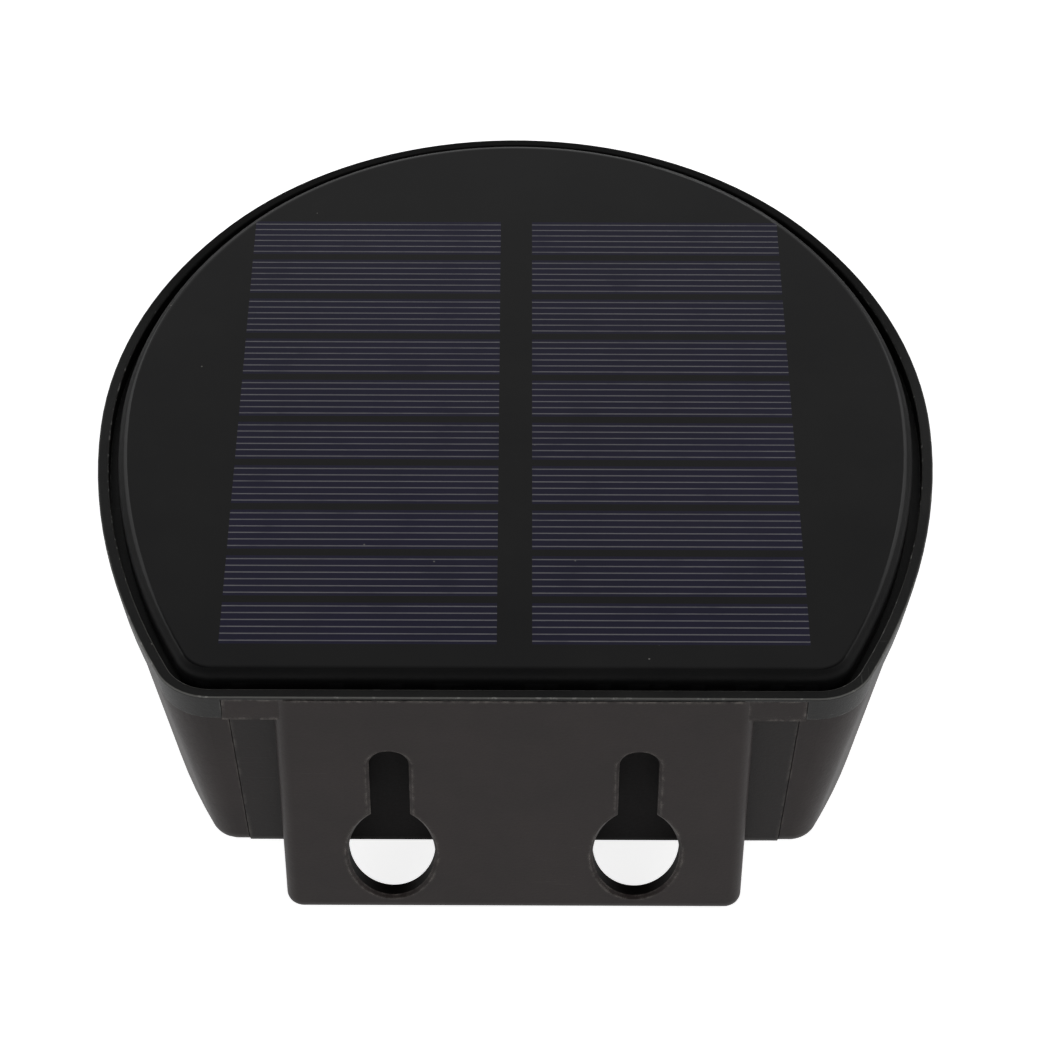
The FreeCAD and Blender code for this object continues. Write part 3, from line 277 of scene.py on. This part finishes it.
def mouldedFinish(name, look):
    # plastic straight from the mould: grain, slow tone changes, worn edges, scuffs and dust; some
    # looks add painted shade, and on the cover the worn edges are also a painted highlight
    material, tree, shader = newMaterial(name)
    grain = useGroup(tree, mouldedGrain, Size=look["grainSize"])
    edges = useGroup(tree, edgeWear, Radius=look["wearRadius"], Patch=look["wearPatch"],
                     Amount=look["wear"])
    wear = calc(tree, "MAXIMUM", edges["Mask"],
                calc(tree, "MULTIPLY", edges["Rim"], look["rimWear"]))
    marks = useGroup(tree, scuffs, Length=look["scuffLength"], Width=look["scuffWidth"],
                     Amount=look["scuff"])["Mask"]
    dust = useGroup(tree, settledDust, Speck=look["speck"], Share=look["speckShare"],
                    Film=look["film"])
    colour = blendColour(tree, grain["Tone"], look["dark"], look["light"])
    # edges and scuffs take the worn colour; on the cover this is wear and a painted highlight
    colour = blendColour(tree, calc(tree, "MAXIMUM", wear, marks), colour, look["wearAndHighlight"])
    colour = blendColour(tree, calc(tree, "MAXIMUM", dust["Specks"], dust["Film"]), colour,
                         look["dust"])
    rough = calc(tree, "MULTIPLY_ADD", grain["Height"], look["roughChange"], look["rough"])
    rough = calc(tree, "ADD", rough, calc(tree, "MULTIPLY", marks, look["scuffRough"]))
    if "paintedNoseShade" in look:
        # painted shade: the rim's colour darkens towards the nose, and the rim is duller there
        along = addNode(tree, "ShaderNodeSeparateXYZ", {
            0: addNode(tree, "ShaderNodeTexCoord").outputs["Object"]}).outputs["Y"]
        nose = ramp(tree, along, -look["noseStart"] / 1000, -look["noseEnd"] / 1000)
        colour = blendColour(tree, nose, colour, look["paintedNoseShade"])
        rough = calc(tree, "ADD", rough, calc(tree, "MULTIPLY", nose, look["noseRough"]))
    if "pocketWidth" in look:
        # painted shade: the wall behind the mounting plate is darkened, fully between the plate's
        # sides and partly beyond them, and is rougher between the plate's sides
        parts = addNode(tree, "ShaderNodeSeparateXYZ", {
            0: addNode(tree, "ShaderNodeTexCoord").outputs["Object"]}).outputs
        across = calc(tree, "LESS_THAN", calc(tree, "ABSOLUTE", parts["X"]),
                      look["pocketWidth"] / 2000)
        deep = calc(tree, "LESS_THAN", parts["Y"], -look["pocketDepth"] / 1000)
        behind = calc(tree, "MULTIPLY", across, deep)
        # painted shade also darkens the walls of the keyholes, which face sideways between the
        # plate's sides, and makes them rougher
        facing = addNode(tree, "ShaderNodeSeparateXYZ", {
            0: addNode(tree, "ShaderNodeNewGeometry").outputs["Normal"]}).outputs["Y"]
        upright = ramp(tree, calc(tree, "ABSOLUTE", facing), *look["holeLean"])
        within = calc(tree, "MULTIPLY", calc(tree, "LESS_THAN", calc(tree, "ABSOLUTE", parts["X"]),
                                             look["holeReach"] / 1000),
                      calc(tree, "GREATER_THAN", parts["Z"], look["holeLow"] / 1000))
        behind = calc(tree, "MAXIMUM", behind, calc(tree, "MULTIPLY", upright, within))
        paintedShadeMask = calc(tree, "MAXIMUM", behind, calc(tree, "MULTIPLY", deep, look["wallPaintedShade"]))
        colour = blendColour(tree, paintedShadeMask, colour, look["pocketPaintedShade"])
        rough = calc(tree, "ADD", rough, calc(tree, "MULTIPLY", behind, look["pocketRough"]))
    connect(tree, shader, colour=colour, roughness=rough,
            normal=bumpFrom(tree, grain["Height"], look["bump"], look["bumpDepth"]))
    shader.inputs["Specular IOR Level"].default_value = look["specular"]
    return material


capLook = {
    "dark": shade(17, 17, 17), "light": shade(25, 25, 24), "wearAndHighlight": shade(150, 150, 146),
    "dust": shade(120, 118, 112), "grainSize": 0.35, "rough": 0.34, "roughChange": 0.18,
    "bump": 0.35, "bumpDepth": 0.00008, "specular": 0.22, "wearRadius": 0.35, "wearPatch": 1.6,
    "wear": 0.5, "rimWear": 0.9, "scuffLength": 6.0, "scuffWidth": 0.35, "scuff": 0.4,
    "scuffRough": 0.12, "speck": 1.7, "speckShare": 0.03, "film": 0.03,
}
# the rim's look adds painted shade towards the nose
rimLook = dict(capLook, paintedNoseShade=shade(9, 9, 9), noseStart=55, noseEnd=95, noseRough=0.35)
dress("cap_frame", mouldedFinish("capPlastic", rimLook))

bodyLook = dict(capLook, dark=shade(36, 30, 29), light=shade(43, 36, 35),
                wearAndHighlight=shade(118, 112, 107), grainSize=0.45, rough=0.38, specular=0.26, wear=0.4,
                wearRadius=0.7, wearPatch=3.0, rimWear=0.0, scuff=0.06, scuffLength=12.0,
                speckShare=0.02)
bodyPlastic = mouldedFinish("bodyPlastic", bodyLook)
for name in ("body_shell", "battery_door"):
    dress(name, bodyPlastic)
# painted shade: the cover's wall behind the plate and its keyhole walls are darkened
# the cover's edges are paler and wider than the body's: wear plus a painted highlight along the
# plate's edges and round the keyholes
coverLook = dict(bodyLook, wearAndHighlight=shade(150, 144, 138), wear=0.75, wearRadius=1.0,
                 wearPatch=2.0, wallPaintedShade=0.6, holeReach=29, holeLow=-20.5, holeLean=(0.5, 0.2),
                 pocketWidth=60.8, pocketDepth=3.5, pocketPaintedShade=shade(14, 11, 11),
                 pocketRough=0.3)
dress("rear_cover", mouldedFinish("coverPlastic", coverLook))

innerLook = dict(capLook, dark=shade(20, 20, 21), light=shade(27, 27, 28), wear=0.15, scuff=0.1,
                 speckShare=0.0, film=0.0, grainSize=0.6, rough=0.5)
innerPlastic = mouldedFinish("innerPlastic", innerLook)
for name in ("battery_holder", "switch_body", "control_components"):
    dress(name, innerPlastic)

knobLook = dict(capLook, dark=shade(196, 194, 186), light=shade(214, 212, 205),
                wearAndHighlight=shade(150, 147, 140), wear=0.3, scuff=0.2, film=0.1, specular=0.5)
dress("switch_knob", mouldedFinish("knobPlastic", knobLook))

reflectorLook = dict(knobLook, dark=shade(226, 226, 222), light=shade(238, 238, 235), wear=0.05,
                     scuff=0.05, rough=0.25, grainSize=0.8)
dress("reflector", mouldedFinish("reflectorPlastic", reflectorLook))

rubberLook = dict(capLook, dark=shade(14, 14, 14), light=shade(22, 22, 22), rough=0.72,
                  specular=0.3, wear=0.1, scuff=0.05, grainSize=0.25, bump=0.5)
for name in ("cap_gasket", "door_seal", "panel_adhesive"):
    dress(name, mouldedFinish(name + "Rubber", rubberLook))


resinLook = {
    "board": shade(13, 13, 14), "boardTone": shade(18, 18, 18), "cell": shade(21, 19, 45),
    "cellTone": shade(25, 22, 50), "line": shade(120, 119, 124), "lineWidth": 0.2, "rough": 0.07,
    "roughChange": 0.10, "wave": 0.10, "waveDepth": 0.0004, "specular": 0.30, "edgeRough": 0.5,
    "speck": 1.4, "speckShare": 0.012, "film": 0.012, "dust": shade(120, 118, 114),
    "speckRough": 0.4, "tonePerMetre": 38.0, "fadePerMetre": 160.0, "smearPerMetre": 52.0,
    "wavePerMetre": 24.0,
}


def resinFinish(look):
    # potting resin over the cells: black board, blue-black strips, fine silver lines
    material, tree, shader = newMaterial("pottingResin")
    place = addNode(tree, "ShaderNodeTexCoord").outputs["Object"]
    lines = useGroup(tree, fingerLines, Width=look["lineWidth"])
    dust = useGroup(tree, settledDust, Speck=look["speck"], Share=look["speckShare"],
                    Film=look["film"])
    slow = ramp(tree, noise(tree, place, look["tonePerMetre"], 4.0, 0.6), 0.32, 0.68)
    board = blendColour(tree, slow, look["board"], look["boardTone"])
    cell = blendColour(tree, slow, look["cell"], look["cellTone"])
    colour = blendColour(tree, lines["Cell"], board, cell)
    faded = calc(tree, "MULTIPLY", lines["Line"],
                 ramp(tree, noise(tree, place, look["fadePerMetre"], 3.0), 0.2, 0.55, 0.55, 1.0))
    colour = blendColour(tree, faded, colour, look["line"])
    colour = blendColour(tree, calc(tree, "MAXIMUM", dust["Specks"], dust["Film"]), colour,
                         look["dust"])
    smear = ramp(tree, noise(tree, place, look["smearPerMetre"], 5.0, 0.65), 0.35, 0.75)
    rough = calc(tree, "MULTIPLY_ADD", smear, look["roughChange"], look["rough"])
    rough = calc(tree, "ADD", rough, calc(tree, "MULTIPLY", dust["Specks"], look["speckRough"]))
    # the rounded edge of the resin has lost its polish
    lean = addNode(tree, "ShaderNodeSeparateXYZ", {
        0: addNode(tree, "ShaderNodeNewGeometry").outputs["Normal"]}).outputs["Z"]
    rough = calc(tree, "ADD", rough, ramp(tree, lean, 0.995, 0.9, 0.0, look["edgeRough"]))
    waves = noise(tree, place, look["wavePerMetre"], 1.0, 0.4)
    connect(tree, shader, colour=colour, roughness=rough,
            normal=bumpFrom(tree, waves, look["wave"], look["waveDepth"]))
    shader.inputs["Specular IOR Level"].default_value = look["specular"]
    return material


dress("panel_resin", resinFinish(resinLook))
dress("solar_cells", resinFinish(dict(resinLook, specular=0.5)))

boardLook = {"green": shade(16, 62, 40), "trace": shade(30, 92, 58), "white": shade(226, 227, 223),
             "whiteTrace": shade(210, 211, 206), "black": shade(15, 15, 16),
             "blackTrace": shade(24, 24, 25), "trackSize": 2.4, "rough": 0.32}


def boardFinish(name, base, trace, look):
    # solder mask with tracks under it: the tracks are the flat tops of a cell pattern
    material, tree, shader = newMaterial(name)
    place = addNode(tree, "ShaderNodeTexCoord").outputs["Object"]
    tracks = addNode(tree, "ShaderNodeTexVoronoi",
                     {"Vector": place, "Scale": 1000.0 / look["trackSize"]},
                     distance="CHEBYCHEV", feature="F1").outputs["Distance"]
    raised = ramp(tree, tracks, 0.36, 0.42)
    grain = useGroup(tree, mouldedGrain, Size=0.7)
    colour = blendColour(tree, raised, trace, base)
    rough = calc(tree, "MULTIPLY_ADD", grain["Height"], 0.15, look["rough"])
    connect(tree, shader, colour=colour, roughness=rough,
            normal=bumpFrom(tree, raised, 0.25, 0.00006))
    return material


dress("control_board", boardFinish("greenMask", boardLook["green"], boardLook["trace"], boardLook))
dress("led_board", boardFinish("whiteMask", boardLook["white"], boardLook["whiteTrace"], boardLook))
dress("panel_board", boardFinish("blackMask", boardLook["black"], boardLook["blackTrace"],
                                 boardLook))

lensLook = {"dark": shade(214, 216, 214), "light": shade(232, 233, 231), "rough": 0.42,
            "prism": 1.5, "bump": 0.35, "bumpDepth": 0.0002, "through": 0.35}


def lensFinish(look):
    # frosted cover with a field of small pyramids: the height is the nearer side of a cell
    material, tree, shader = newMaterial("frostedLens")
    place = addNode(tree, "ShaderNodeTexCoord").outputs["Object"]
    parts = addNode(tree, "ShaderNodeSeparateXYZ", {0: place}).outputs
    sides = []
    for axis in ("X", "Y"):
        turns = calc(tree, "MULTIPLY", parts[axis], 1000.0 / look["prism"])
        sides.append(calc(tree, "ABSOLUTE", calc(tree, "SUBTRACT",
                                                 calc(tree, "FRACT", calc(tree, "ADD", turns, 100.0)),
                                                 0.5)))
    peak = calc(tree, "MAXIMUM", sides[0], sides[1])
    haze = ramp(tree, noise(tree, place, 45.0, 4.0), 0.3, 0.7)
    colour = blendColour(tree, haze, look["dark"], look["light"])
    rough = calc(tree, "MULTIPLY_ADD", haze, 0.12, look["rough"])
    connect(tree, shader, colour=colour, roughness=rough,
            normal=bumpFrom(tree, peak, look["bump"], look["bumpDepth"]))
    shader.inputs["Transmission Weight"].default_value = look["through"]
    shader.inputs["IOR"].default_value = 1.5
    return material


dress("lens", lensFinish(lensLook))

metalLook = {"nickelDark": shade(168, 163, 152), "nickelLight": shade(206, 202, 192),
             "zincDark": shade(150, 153, 156), "zincLight": shade(196, 199, 202), "rough": 0.24}


def metalFinish(name, dark, light, look):
    # plated steel: fine stretched noise for the drawing marks, slow noise for the stain
    material, tree, shader = newMaterial(name)
    place = addNode(tree, "ShaderNodeTexCoord").outputs["Object"]
    drawn = addNode(tree, "ShaderNodeMapping", {"Vector": place, "Scale": (400.0, 3000.0, 3000.0)})
    marks = noise(tree, drawn.outputs[0], 1.0, 3.0)
    stain = ramp(tree, noise(tree, place, 420.0, 4.0), 0.3, 0.7)
    rough = calc(tree, "MULTIPLY_ADD", marks, 0.25, look["rough"])
    connect(tree, shader, colour=blendColour(tree, stain, dark, light), roughness=rough,
            normal=bumpFrom(tree, marks, 0.15, 0.00003))
    shader.inputs["Metallic"].default_value = 1.0
    return material


nickel = metalFinish("nickelPlate", metalLook["nickelDark"], metalLook["nickelLight"], metalLook)
zinc = metalFinish("zincPlate", metalLook["zincDark"], metalLook["zincLight"], metalLook)
for name in ("battery_spring", "battery_contact_plus", "battery_contact_minus"):
    dress(name, nickel)

leadLook = {"red": shade(148, 22, 18), "black": shade(18, 18, 19), "rough": 0.42}


def leadFinish(look):
    # insulation: the leads on the plus side are red and the others black
    material, tree, shader = newMaterial("leadInsulation")
    place = addNode(tree, "ShaderNodeTexCoord").outputs["Object"]
    side = addNode(tree, "ShaderNodeSeparateXYZ", {0: place}).outputs["X"]
    grain = useGroup(tree, mouldedGrain, Size=0.3)
    colour = blendColour(tree, calc(tree, "GREATER_THAN", side, 0.0), look["black"], look["red"])
    rough = calc(tree, "MULTIPLY_ADD", grain["Height"], 0.2, look["rough"])
    connect(tree, shader, colour=colour, roughness=rough,
            normal=bumpFrom(tree, grain["Height"], 0.2, 0.00005))
    return material


leads = leadFinish(leadLook)
for name in ("panel_leads", "battery_leads", "led_leads", "switch_leads"):
    dress(name, leads)
print("finishes given to the model's pieces")


def buildSurface(name, grids, body, material, stands, sharp=38):
    # each grid holds points by row and by step round; rows are joined to the next row and
    # steps wrap round, and rows that shrink to a point are closed by merging it
    corners = []
    faces = []
    start = 0
    for grid in grids:
        rows, steps = grid.shape[:2]
        index = np.arange(rows * steps).reshape(rows, steps) + start
        beside = np.roll(index, -1, axis=1)
        faces.append(np.stack([index[:-1], beside[:-1], beside[1:], index[1:]], -1).reshape(-1, 4))
        corners.append(grid.reshape(-1, 3))
        start += rows * steps
    mesh = bpy.data.meshes.new(name)
    mesh.from_pydata(np.concatenate(corners).tolist(), [], np.concatenate(faces).tolist())
    work = bmesh.new()
    work.from_mesh(mesh)
    bmesh.ops.remove_doubles(work, verts=work.verts, dist=1e-7)
    bmesh.ops.dissolve_degenerate(work, edges=work.edges, dist=1e-7)
    bmesh.ops.recalc_face_normals(work, faces=work.faces)
    work.to_mesh(mesh)
    work.free()
    mesh.shade_smooth()
    mesh.set_sharp_from_angle(angle=math.radians(sharp))
    mesh.materials.append(material)
    piece = bpy.data.objects.new(name, mesh)
    bpy.context.scene.collection.objects.link(piece)
    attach(piece, body)
    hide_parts(stands)
    return piece


def turned(profile, steps, shape=2.0):
    # a profile of (radius, level) carried once round: the section is a superellipse, so a
    # power of 2 gives a circle and a higher one a rounded square
    angle = np.linspace(0, 2 * np.pi, steps, endpoint=False)
    radius = profile[:, 0][:, None]
    power = np.broadcast_to(np.asarray(shape, float).reshape(-1, 1), radius.shape)
    cosine, sine = np.cos(angle)[None], np.sin(angle)[None]
    reach = (np.abs(cosine) ** power + np.abs(sine) ** power) ** (-1 / power)
    level = np.broadcast_to(profile[:, 1][:, None], reach.shape)
    return np.stack([radius * reach * cosine, radius * reach * sine, level], -1)


# lengths in millimetres; the band and the bare ends are places along X in metres
batteryLook = {"beadRadius": 0.35, "nubLength": 1.2, "nubRadius": 2.6, "nubBevel": 0.3,
               "dish": 0.2, "steps": 72, "wrap": shade(38, 96, 62), "wrapTone": shade(46, 112, 74),
               "band": shade(206, 206, 200), "bandStart": 0.0145, "plusEnd": 0.02545,
               "minusEnd": -0.02285, "rough": 0.3}


def batteryFinish(look):
    # shrink wrap with a plain pale band near the plus end
    material, tree, shader = newMaterial("cellWrap")
    place = addNode(tree, "ShaderNodeTexCoord").outputs["Object"]
    along = addNode(tree, "ShaderNodeSeparateXYZ", {0: place}).outputs["X"]
    slow = ramp(tree, noise(tree, place, 90.0, 3.0), 0.3, 0.7)
    colour = blendColour(tree, slow, look["wrap"], look["wrapTone"])
    band = calc(tree, "GREATER_THAN", along, look["bandStart"])
    colour = blendColour(tree, band, colour, look["band"])
    ends = calc(tree, "MAXIMUM", calc(tree, "GREATER_THAN", along, look["plusEnd"]),
                calc(tree, "LESS_THAN", along, look["minusEnd"]))
    colour = blendColour(tree, ends, colour, metalLook["nickelLight"])
    rough = calc(tree, "MULTIPLY_ADD", slow, 0.12, look["rough"])
    connect(tree, shader, colour=colour, roughness=rough,
            normal=bumpFrom(tree, noise(tree, place, 700.0, 2.0), 0.12, 0.00005))
    tree.links.new(ends, shader.inputs["Metallic"])
    return material


def makeBattery(look):
    # profile along the cell: dished minus end, rolled shoulder, wrap, shoulder, plus nub
    low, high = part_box("battery")
    radius = (high.z - low.z) / 2
    first, last = low.x, high.x
    nub, bevel, dish = look["nubLength"] / 1000, look["nubBevel"] / 1000, look["dish"] / 1000
    post = look["nubRadius"] / 1000
    bead = look["beadRadius"] / 1000
    turn = np.linspace(0, np.pi / 2, 7)
    rolled = np.stack([radius - bead + bead * np.sin(turn), first + bead - bead * np.cos(turn)], -1)
    shoulder = np.stack([radius - bead + bead * np.cos(turn),
                         last - nub - bead + bead * np.sin(turn)], -1)
    minus = np.array([[0, first], [radius * 0.55, first], [radius * 0.6, first + dish],
                      [radius * 0.85, first + dish], [radius * 0.9, first]])
    plus = np.array([[radius * 0.8, last - nub], [radius * 0.76, last - nub - bevel],
                     [post, last - nub - bevel], [post, last - bevel], [post - bevel, last],
                     [0, last]])
    grid = turned(np.concatenate([minus, rolled, shoulder, plus]), look["steps"])
    middle = np.array([0, (low.y + high.y) / 2, (low.z + high.z) / 2])
    lying = np.stack([grid[..., 2], grid[..., 0], grid[..., 1]], -1) + middle
    return buildSurface("battery_cell", [lying], "housing", batteryFinish(look),
                        "battery", 30)


makeBattery(batteryLook)

# lengths in millimetres
ledLook = {"steps": 48, "side": 5.0, "well": 3.4, "dome": 0.42, "rim": 0.3, "bevel": 0.45,
           "columns": 3, "rows": 2, "columnPitch": 22.0, "square": 9.0,
           "white": shade(232, 231, 226), "phosphor": shade(232, 196, 70)}


def ledFinish(look):
    # white package with a round pool of phosphor, told apart by the piece's own attribute
    material, tree, shader = newMaterial("diodePackage")
    pool = addNode(tree, "ShaderNodeAttribute", attribute_name="pool").outputs["Fac"]
    grain = useGroup(tree, mouldedGrain, Size=0.25)
    colour = blendColour(tree, pool, look["white"], look["phosphor"])
    rough = calc(tree, "MULTIPLY_ADD", grain["Height"], 0.3, 0.2)
    connect(tree, shader, colour=colour, roughness=rough,
            normal=bumpFrom(tree, grain["Height"], 0.2, 0.00004))
    return material


def makeLeds(look):
    # each package is a profile from its back, up the square wall, into the round well and
    # over a low dome; the section's power falls from a square's at the wall to a circle's 2
    low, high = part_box("leds")
    half = look["side"] / 2000
    well = look["well"] / 2000
    dome, rim = look["dome"] / 1000, low.z + look["rim"] / 1000
    edge = 0.0001
    bulge = np.linspace(0, np.pi / 2, 7)
    profile = np.concatenate([
        [[0, high.z], [half, high.z], [half, low.z + look["bevel"] / 1000], [half - edge, rim],
         [well + edge, rim], [well, low.z + dome]],
        np.stack([well * np.cos(bulge), low.z + dome - dome * np.sin(bulge)], -1),
    ])
    power = np.concatenate([np.full(4, look["square"]), np.full(len(profile) - 4, 2.0)])
    one = turned(profile, look["steps"], power)
    grids = []
    for x in np.linspace(low.x + half, high.x - half, look["columns"]):
        for y in np.linspace(low.y + half, high.y - half, look["rows"]):
            grids.append(one + np.array([x, y, 0]))
    piece = buildSurface("diodes", grids, "housing", ledFinish(look), "leds")
    points = np.empty(len(piece.data.vertices) * 3)
    piece.data.vertices.foreach_get("co", points)
    points = points.reshape(-1, 3)
    pitch = look["columnPitch"] / 1000
    centre = np.stack([np.round(points[:, 0] / pitch) * pitch,
                       np.where(points[:, 1] > (low.y + high.y) / 2, high.y - half,
                                low.y + half)], -1)
    inside = np.hypot(*(points[:, :2] - centre).T) < well + 0.00002
    pool = piece.data.attributes.new("pool", "FLOAT", "POINT")
    pool.data.foreach_set("value", (inside & (points[:, 2] < low.z + 0.0006)).astype(np.float32))
    return piece


makeLeds(ledLook)

# lengths in millimetres; the four cap screws stand at plus and minus each X
screwLook = {"steps": 96, "head": 2.6, "headHeight": 1.8, "shank": 1.3, "threadPitch": 0.9,
             "threadDepth": 0.16, "crossWidth": 0.62, "crossReach": 1.55, "crossDepth": 0.9,
             "capLength": 12.0, "doorLength": 8.0, "capSpots": ((31.2, -94.3), (38.0, -12.2))}


def screwGrid(look, length):
    # rows run from the middle of the head's face outward, over its rounded rim, in to the
    # shank and along it; the face sinks where both the nearer and the farther of |x| and
    # |y| lie inside the cross, and the shank swells by a triangle wave of turn plus level
    head, headHeight, shank = look["head"], look["headHeight"], look["shank"]
    face = np.linspace(0, head * 0.86, 22)
    rim = np.linspace(0, np.pi / 2, 6)
    crown = np.stack([head * (0.86 + 0.14 * np.sin(rim)),
                      head * 0.14 * (1 - np.cos(rim)) * 2.2], -1)
    rows = int(length / look["threadPitch"] * 10)
    along = np.linspace(0, length - 1.2, rows)
    tip = np.array([[shank * 0.55, headHeight + length - 0.3], [0, headHeight + length]])
    profile = np.concatenate([
        np.stack([face, np.zeros_like(face)], -1), crown, [[head, headHeight]],
        np.stack([np.full(rows, shank), headHeight + along], -1), tip,
    ])
    grid = turned(profile, look["steps"])
    x, y = np.abs(grid[..., 0]), np.abs(grid[..., 1])
    narrow = np.clip((look["crossWidth"] / 2 - np.minimum(x, y)) / 0.12 + 0.5, 0, 1)
    short = np.clip((look["crossReach"] - np.maximum(x, y)) / 0.3 + 0.5, 0, 1)
    sunk = narrow * short
    sunk[len(face):] = 0
    grid[..., 2] += look["crossDepth"] * sunk
    angle = np.linspace(0, 1, look["steps"], endpoint=False)[None]
    wave = 1 - 2 * np.abs((grid[..., 2] / look["threadPitch"] - angle) % 1 - 0.5) * 2
    fade = np.zeros(len(profile))
    fade[-rows - 2:-2] = np.clip((along - 1.0) / 1.5, 0, 1)
    swell = 1 + wave * fade[:, None] * look["threadDepth"] / 2 / shank
    grid[..., :2] *= swell[..., None]
    return grid / 1000


def makeScrews(name, stands, body, spots, length, look):
    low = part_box(stands)[0]
    one = screwGrid(look, length)
    grids = [one + np.array([x, y, low.z]) for x, y in spots]
    return buildSurface(name, grids, body, zinc, stands, 34)


capSpots = [(side * x / 1000, y / 1000) for side in (-1, 1) for x, y in screwLook["capSpots"]]
makeScrews("cap_screws_threaded", "cap_screws", "housing", capSpots, screwLook["capLength"],
           screwLook)
doorLow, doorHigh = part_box("door_screw")
doorSpot = ((doorLow.x + doorHigh.x) / 2, (doorLow.y + doorHigh.y) / 2)
makeScrews("door_screw_threaded", "door_screw", "door", [doorSpot], screwLook["doorLength"],
           screwLook)
print("battery, diodes and screws built as surfaces")


studioLook = {"floor": shade(236, 236, 236), "floorGap": 0.0003, "floorReach": 6.0,
              "glow": 0.84, "reflectedGlow": 0.6, "horizon": 0.85, "zenith": 0.2,
              "zenithHeight": 1.1, "sides": 0.22, "ahead": (-0.965, -0.87), "frontPower": 0.8,
              "frontSize": 0.5, "frontPlace": (0.5, -0.55, 0.45), "frontTarget": (0, -0.05, 0),
              "wallPower": 4.4, "wallSize": 1.0, "wallPlace": (0.82, 0.3, 0.3),
              "wallTarget": (0, -0.02, 0)}


def makeFloor(look):
    # pale floor under the lowest edge; seen from below it isn't there
    low = cadBox[0].z - look["floorGap"]
    mesh = bpy.data.meshes.new("floor")
    reach = look["floorReach"]
    mesh.from_pydata([(-reach, -reach, low), (reach, -reach, low), (reach, reach, low),
                      (-reach, reach, low)], [], [(0, 1, 2, 3)])
    floor = bpy.data.objects.new("floor", mesh)
    bpy.context.scene.collection.objects.link(floor)
    material, tree, shader = newMaterial("paleFloor")
    seen = addNode(tree, "ShaderNodeLightPath").outputs
    bounced = calc(tree, "MAXIMUM", seen["Is Glossy Ray"], seen["Is Transmission Ray"])
    glow = calc(tree, "MULTIPLY_ADD", seen["Is Camera Ray"], look["glow"],
                calc(tree, "MULTIPLY", bounced, look["reflectedGlow"]))
    shader.inputs["Base Color"].default_value = look["floor"]
    shader.inputs["Roughness"].default_value = 0.9
    shader.inputs["Specular IOR Level"].default_value = 0.1
    shader.inputs["Emission Color"].default_value = (1, 1, 1, 1)
    tree.links.new(glow, shader.inputs["Emission Strength"])
    clear = addNode(tree, "ShaderNodeBsdfTransparent").outputs[0]
    under = addNode(tree, "ShaderNodeNewGeometry").outputs["Backfacing"]
    both = addNode(tree, "ShaderNodeMixShader", {0: under, 1: shader.outputs[0], 2: clear})
    tree.links.new(both.outputs[0], tree.nodes["Material Output"].inputs["Surface"])
    mesh.materials.append(material)
    return floor


def makeSky(look):
    # white where the camera looks; for the object, bright low down ahead of its nose, and
    # dimmer overhead and to the sides
    world = bpy.data.worlds.new("studio")
    bpy.context.scene.world = world
    world.use_nodes = True
    tree = world.node_tree
    back = tree.nodes["Background"]
    direction = addNode(tree, "ShaderNodeTexCoord").outputs["Generated"]
    up = addNode(tree, "ShaderNodeSeparateXYZ", {0: direction}).outputs["Z"]
    level = ramp(tree, up, 0.0, look["zenithHeight"], look["horizon"], look["zenith"])
    heading = addNode(tree, "ShaderNodeVectorMath", {
        0: addNode(tree, "ShaderNodeVectorMath", {0: direction, 1: (1, 1, 0)},
                   operation="MULTIPLY").outputs[0]}, operation="NORMALIZE").outputs[0]
    ahead = addNode(tree, "ShaderNodeSeparateXYZ", {0: heading}).outputs["Y"]
    level = calc(tree, "MULTIPLY", level, ramp(tree, ahead, *look["ahead"], 1.0, look["sides"]))
    seen = addNode(tree, "ShaderNodeLightPath").outputs["Is Camera Ray"]
    tree.links.new(calc(tree, "MAXIMUM", level, seen), back.inputs["Strength"])
    back.inputs["Color"].default_value = (1, 1, 1, 1)


def makeLamp(name, place, target, size, power, mirrored):
    data = bpy.data.lights.new(name, "AREA")
    data.shape = "SQUARE"
    data.size = size
    data.energy = power
    lamp = bpy.data.objects.new(name, data)
    bpy.context.scene.collection.objects.link(lamp)
    # a soft box never shows in the picture, and the wide ones aren't mirrored in the panel
    lamp.visible_camera = False
    lamp.visible_glossy = mirrored
    lamp.location = place
    lamp.rotation_euler = (Vector(target) - Vector(place)).to_track_quat("-Z", "Y").to_euler()
    return lamp


# places in metres, lens and sensor in millimetres, roll in radians
cameraLook = {"place": (-0.000667, 0.298264, 0.355175), "target": (-0.000697, -0.032211, 0.0247),
              "lens": 115.2, "sensor": 36.0, "roll": 0.0034}


def makeCamera(look):
    # the photograph's own view: behind and above, a little under half a metre away
    data = bpy.data.cameras.new("camera")
    data.sensor_width = look["sensor"]
    data.lens = look["lens"]
    camera = bpy.data.objects.new("camera", data)
    bpy.context.scene.collection.objects.link(camera)
    place = Vector(look["place"])
    forward = (Vector(look["target"]) - place).normalized()
    level = forward.cross(Vector((0, 0, 1))).normalized()
    upright = level.cross(forward)
    right = level * math.cos(look["roll"]) + upright * math.sin(look["roll"])
    up = right.cross(forward)
    turn = Matrix((right, up, -forward)).transposed()
    camera.matrix_world = Matrix.Translation(place) @ turn.to_4x4()
    bpy.context.scene.camera = camera


makeFloor(studioLook)
makeSky(studioLook)
for name, side in (("left", 1), ("right", -1)):
    for kind, mirrored in (("front", True), ("wall", False)):
        x, y, z = studioLook[kind + "Place"]
        makeLamp(name + kind.capitalize() + "Lamp", (x * side, y, z), studioLook[kind + "Target"],
                 studioLook[kind + "Size"], studioLook[kind + "Power"], mirrored)
makeCamera(cameraLook)
bpy.context.scene.view_settings.view_transform = "Standard"
print("floor, light and camera placed")
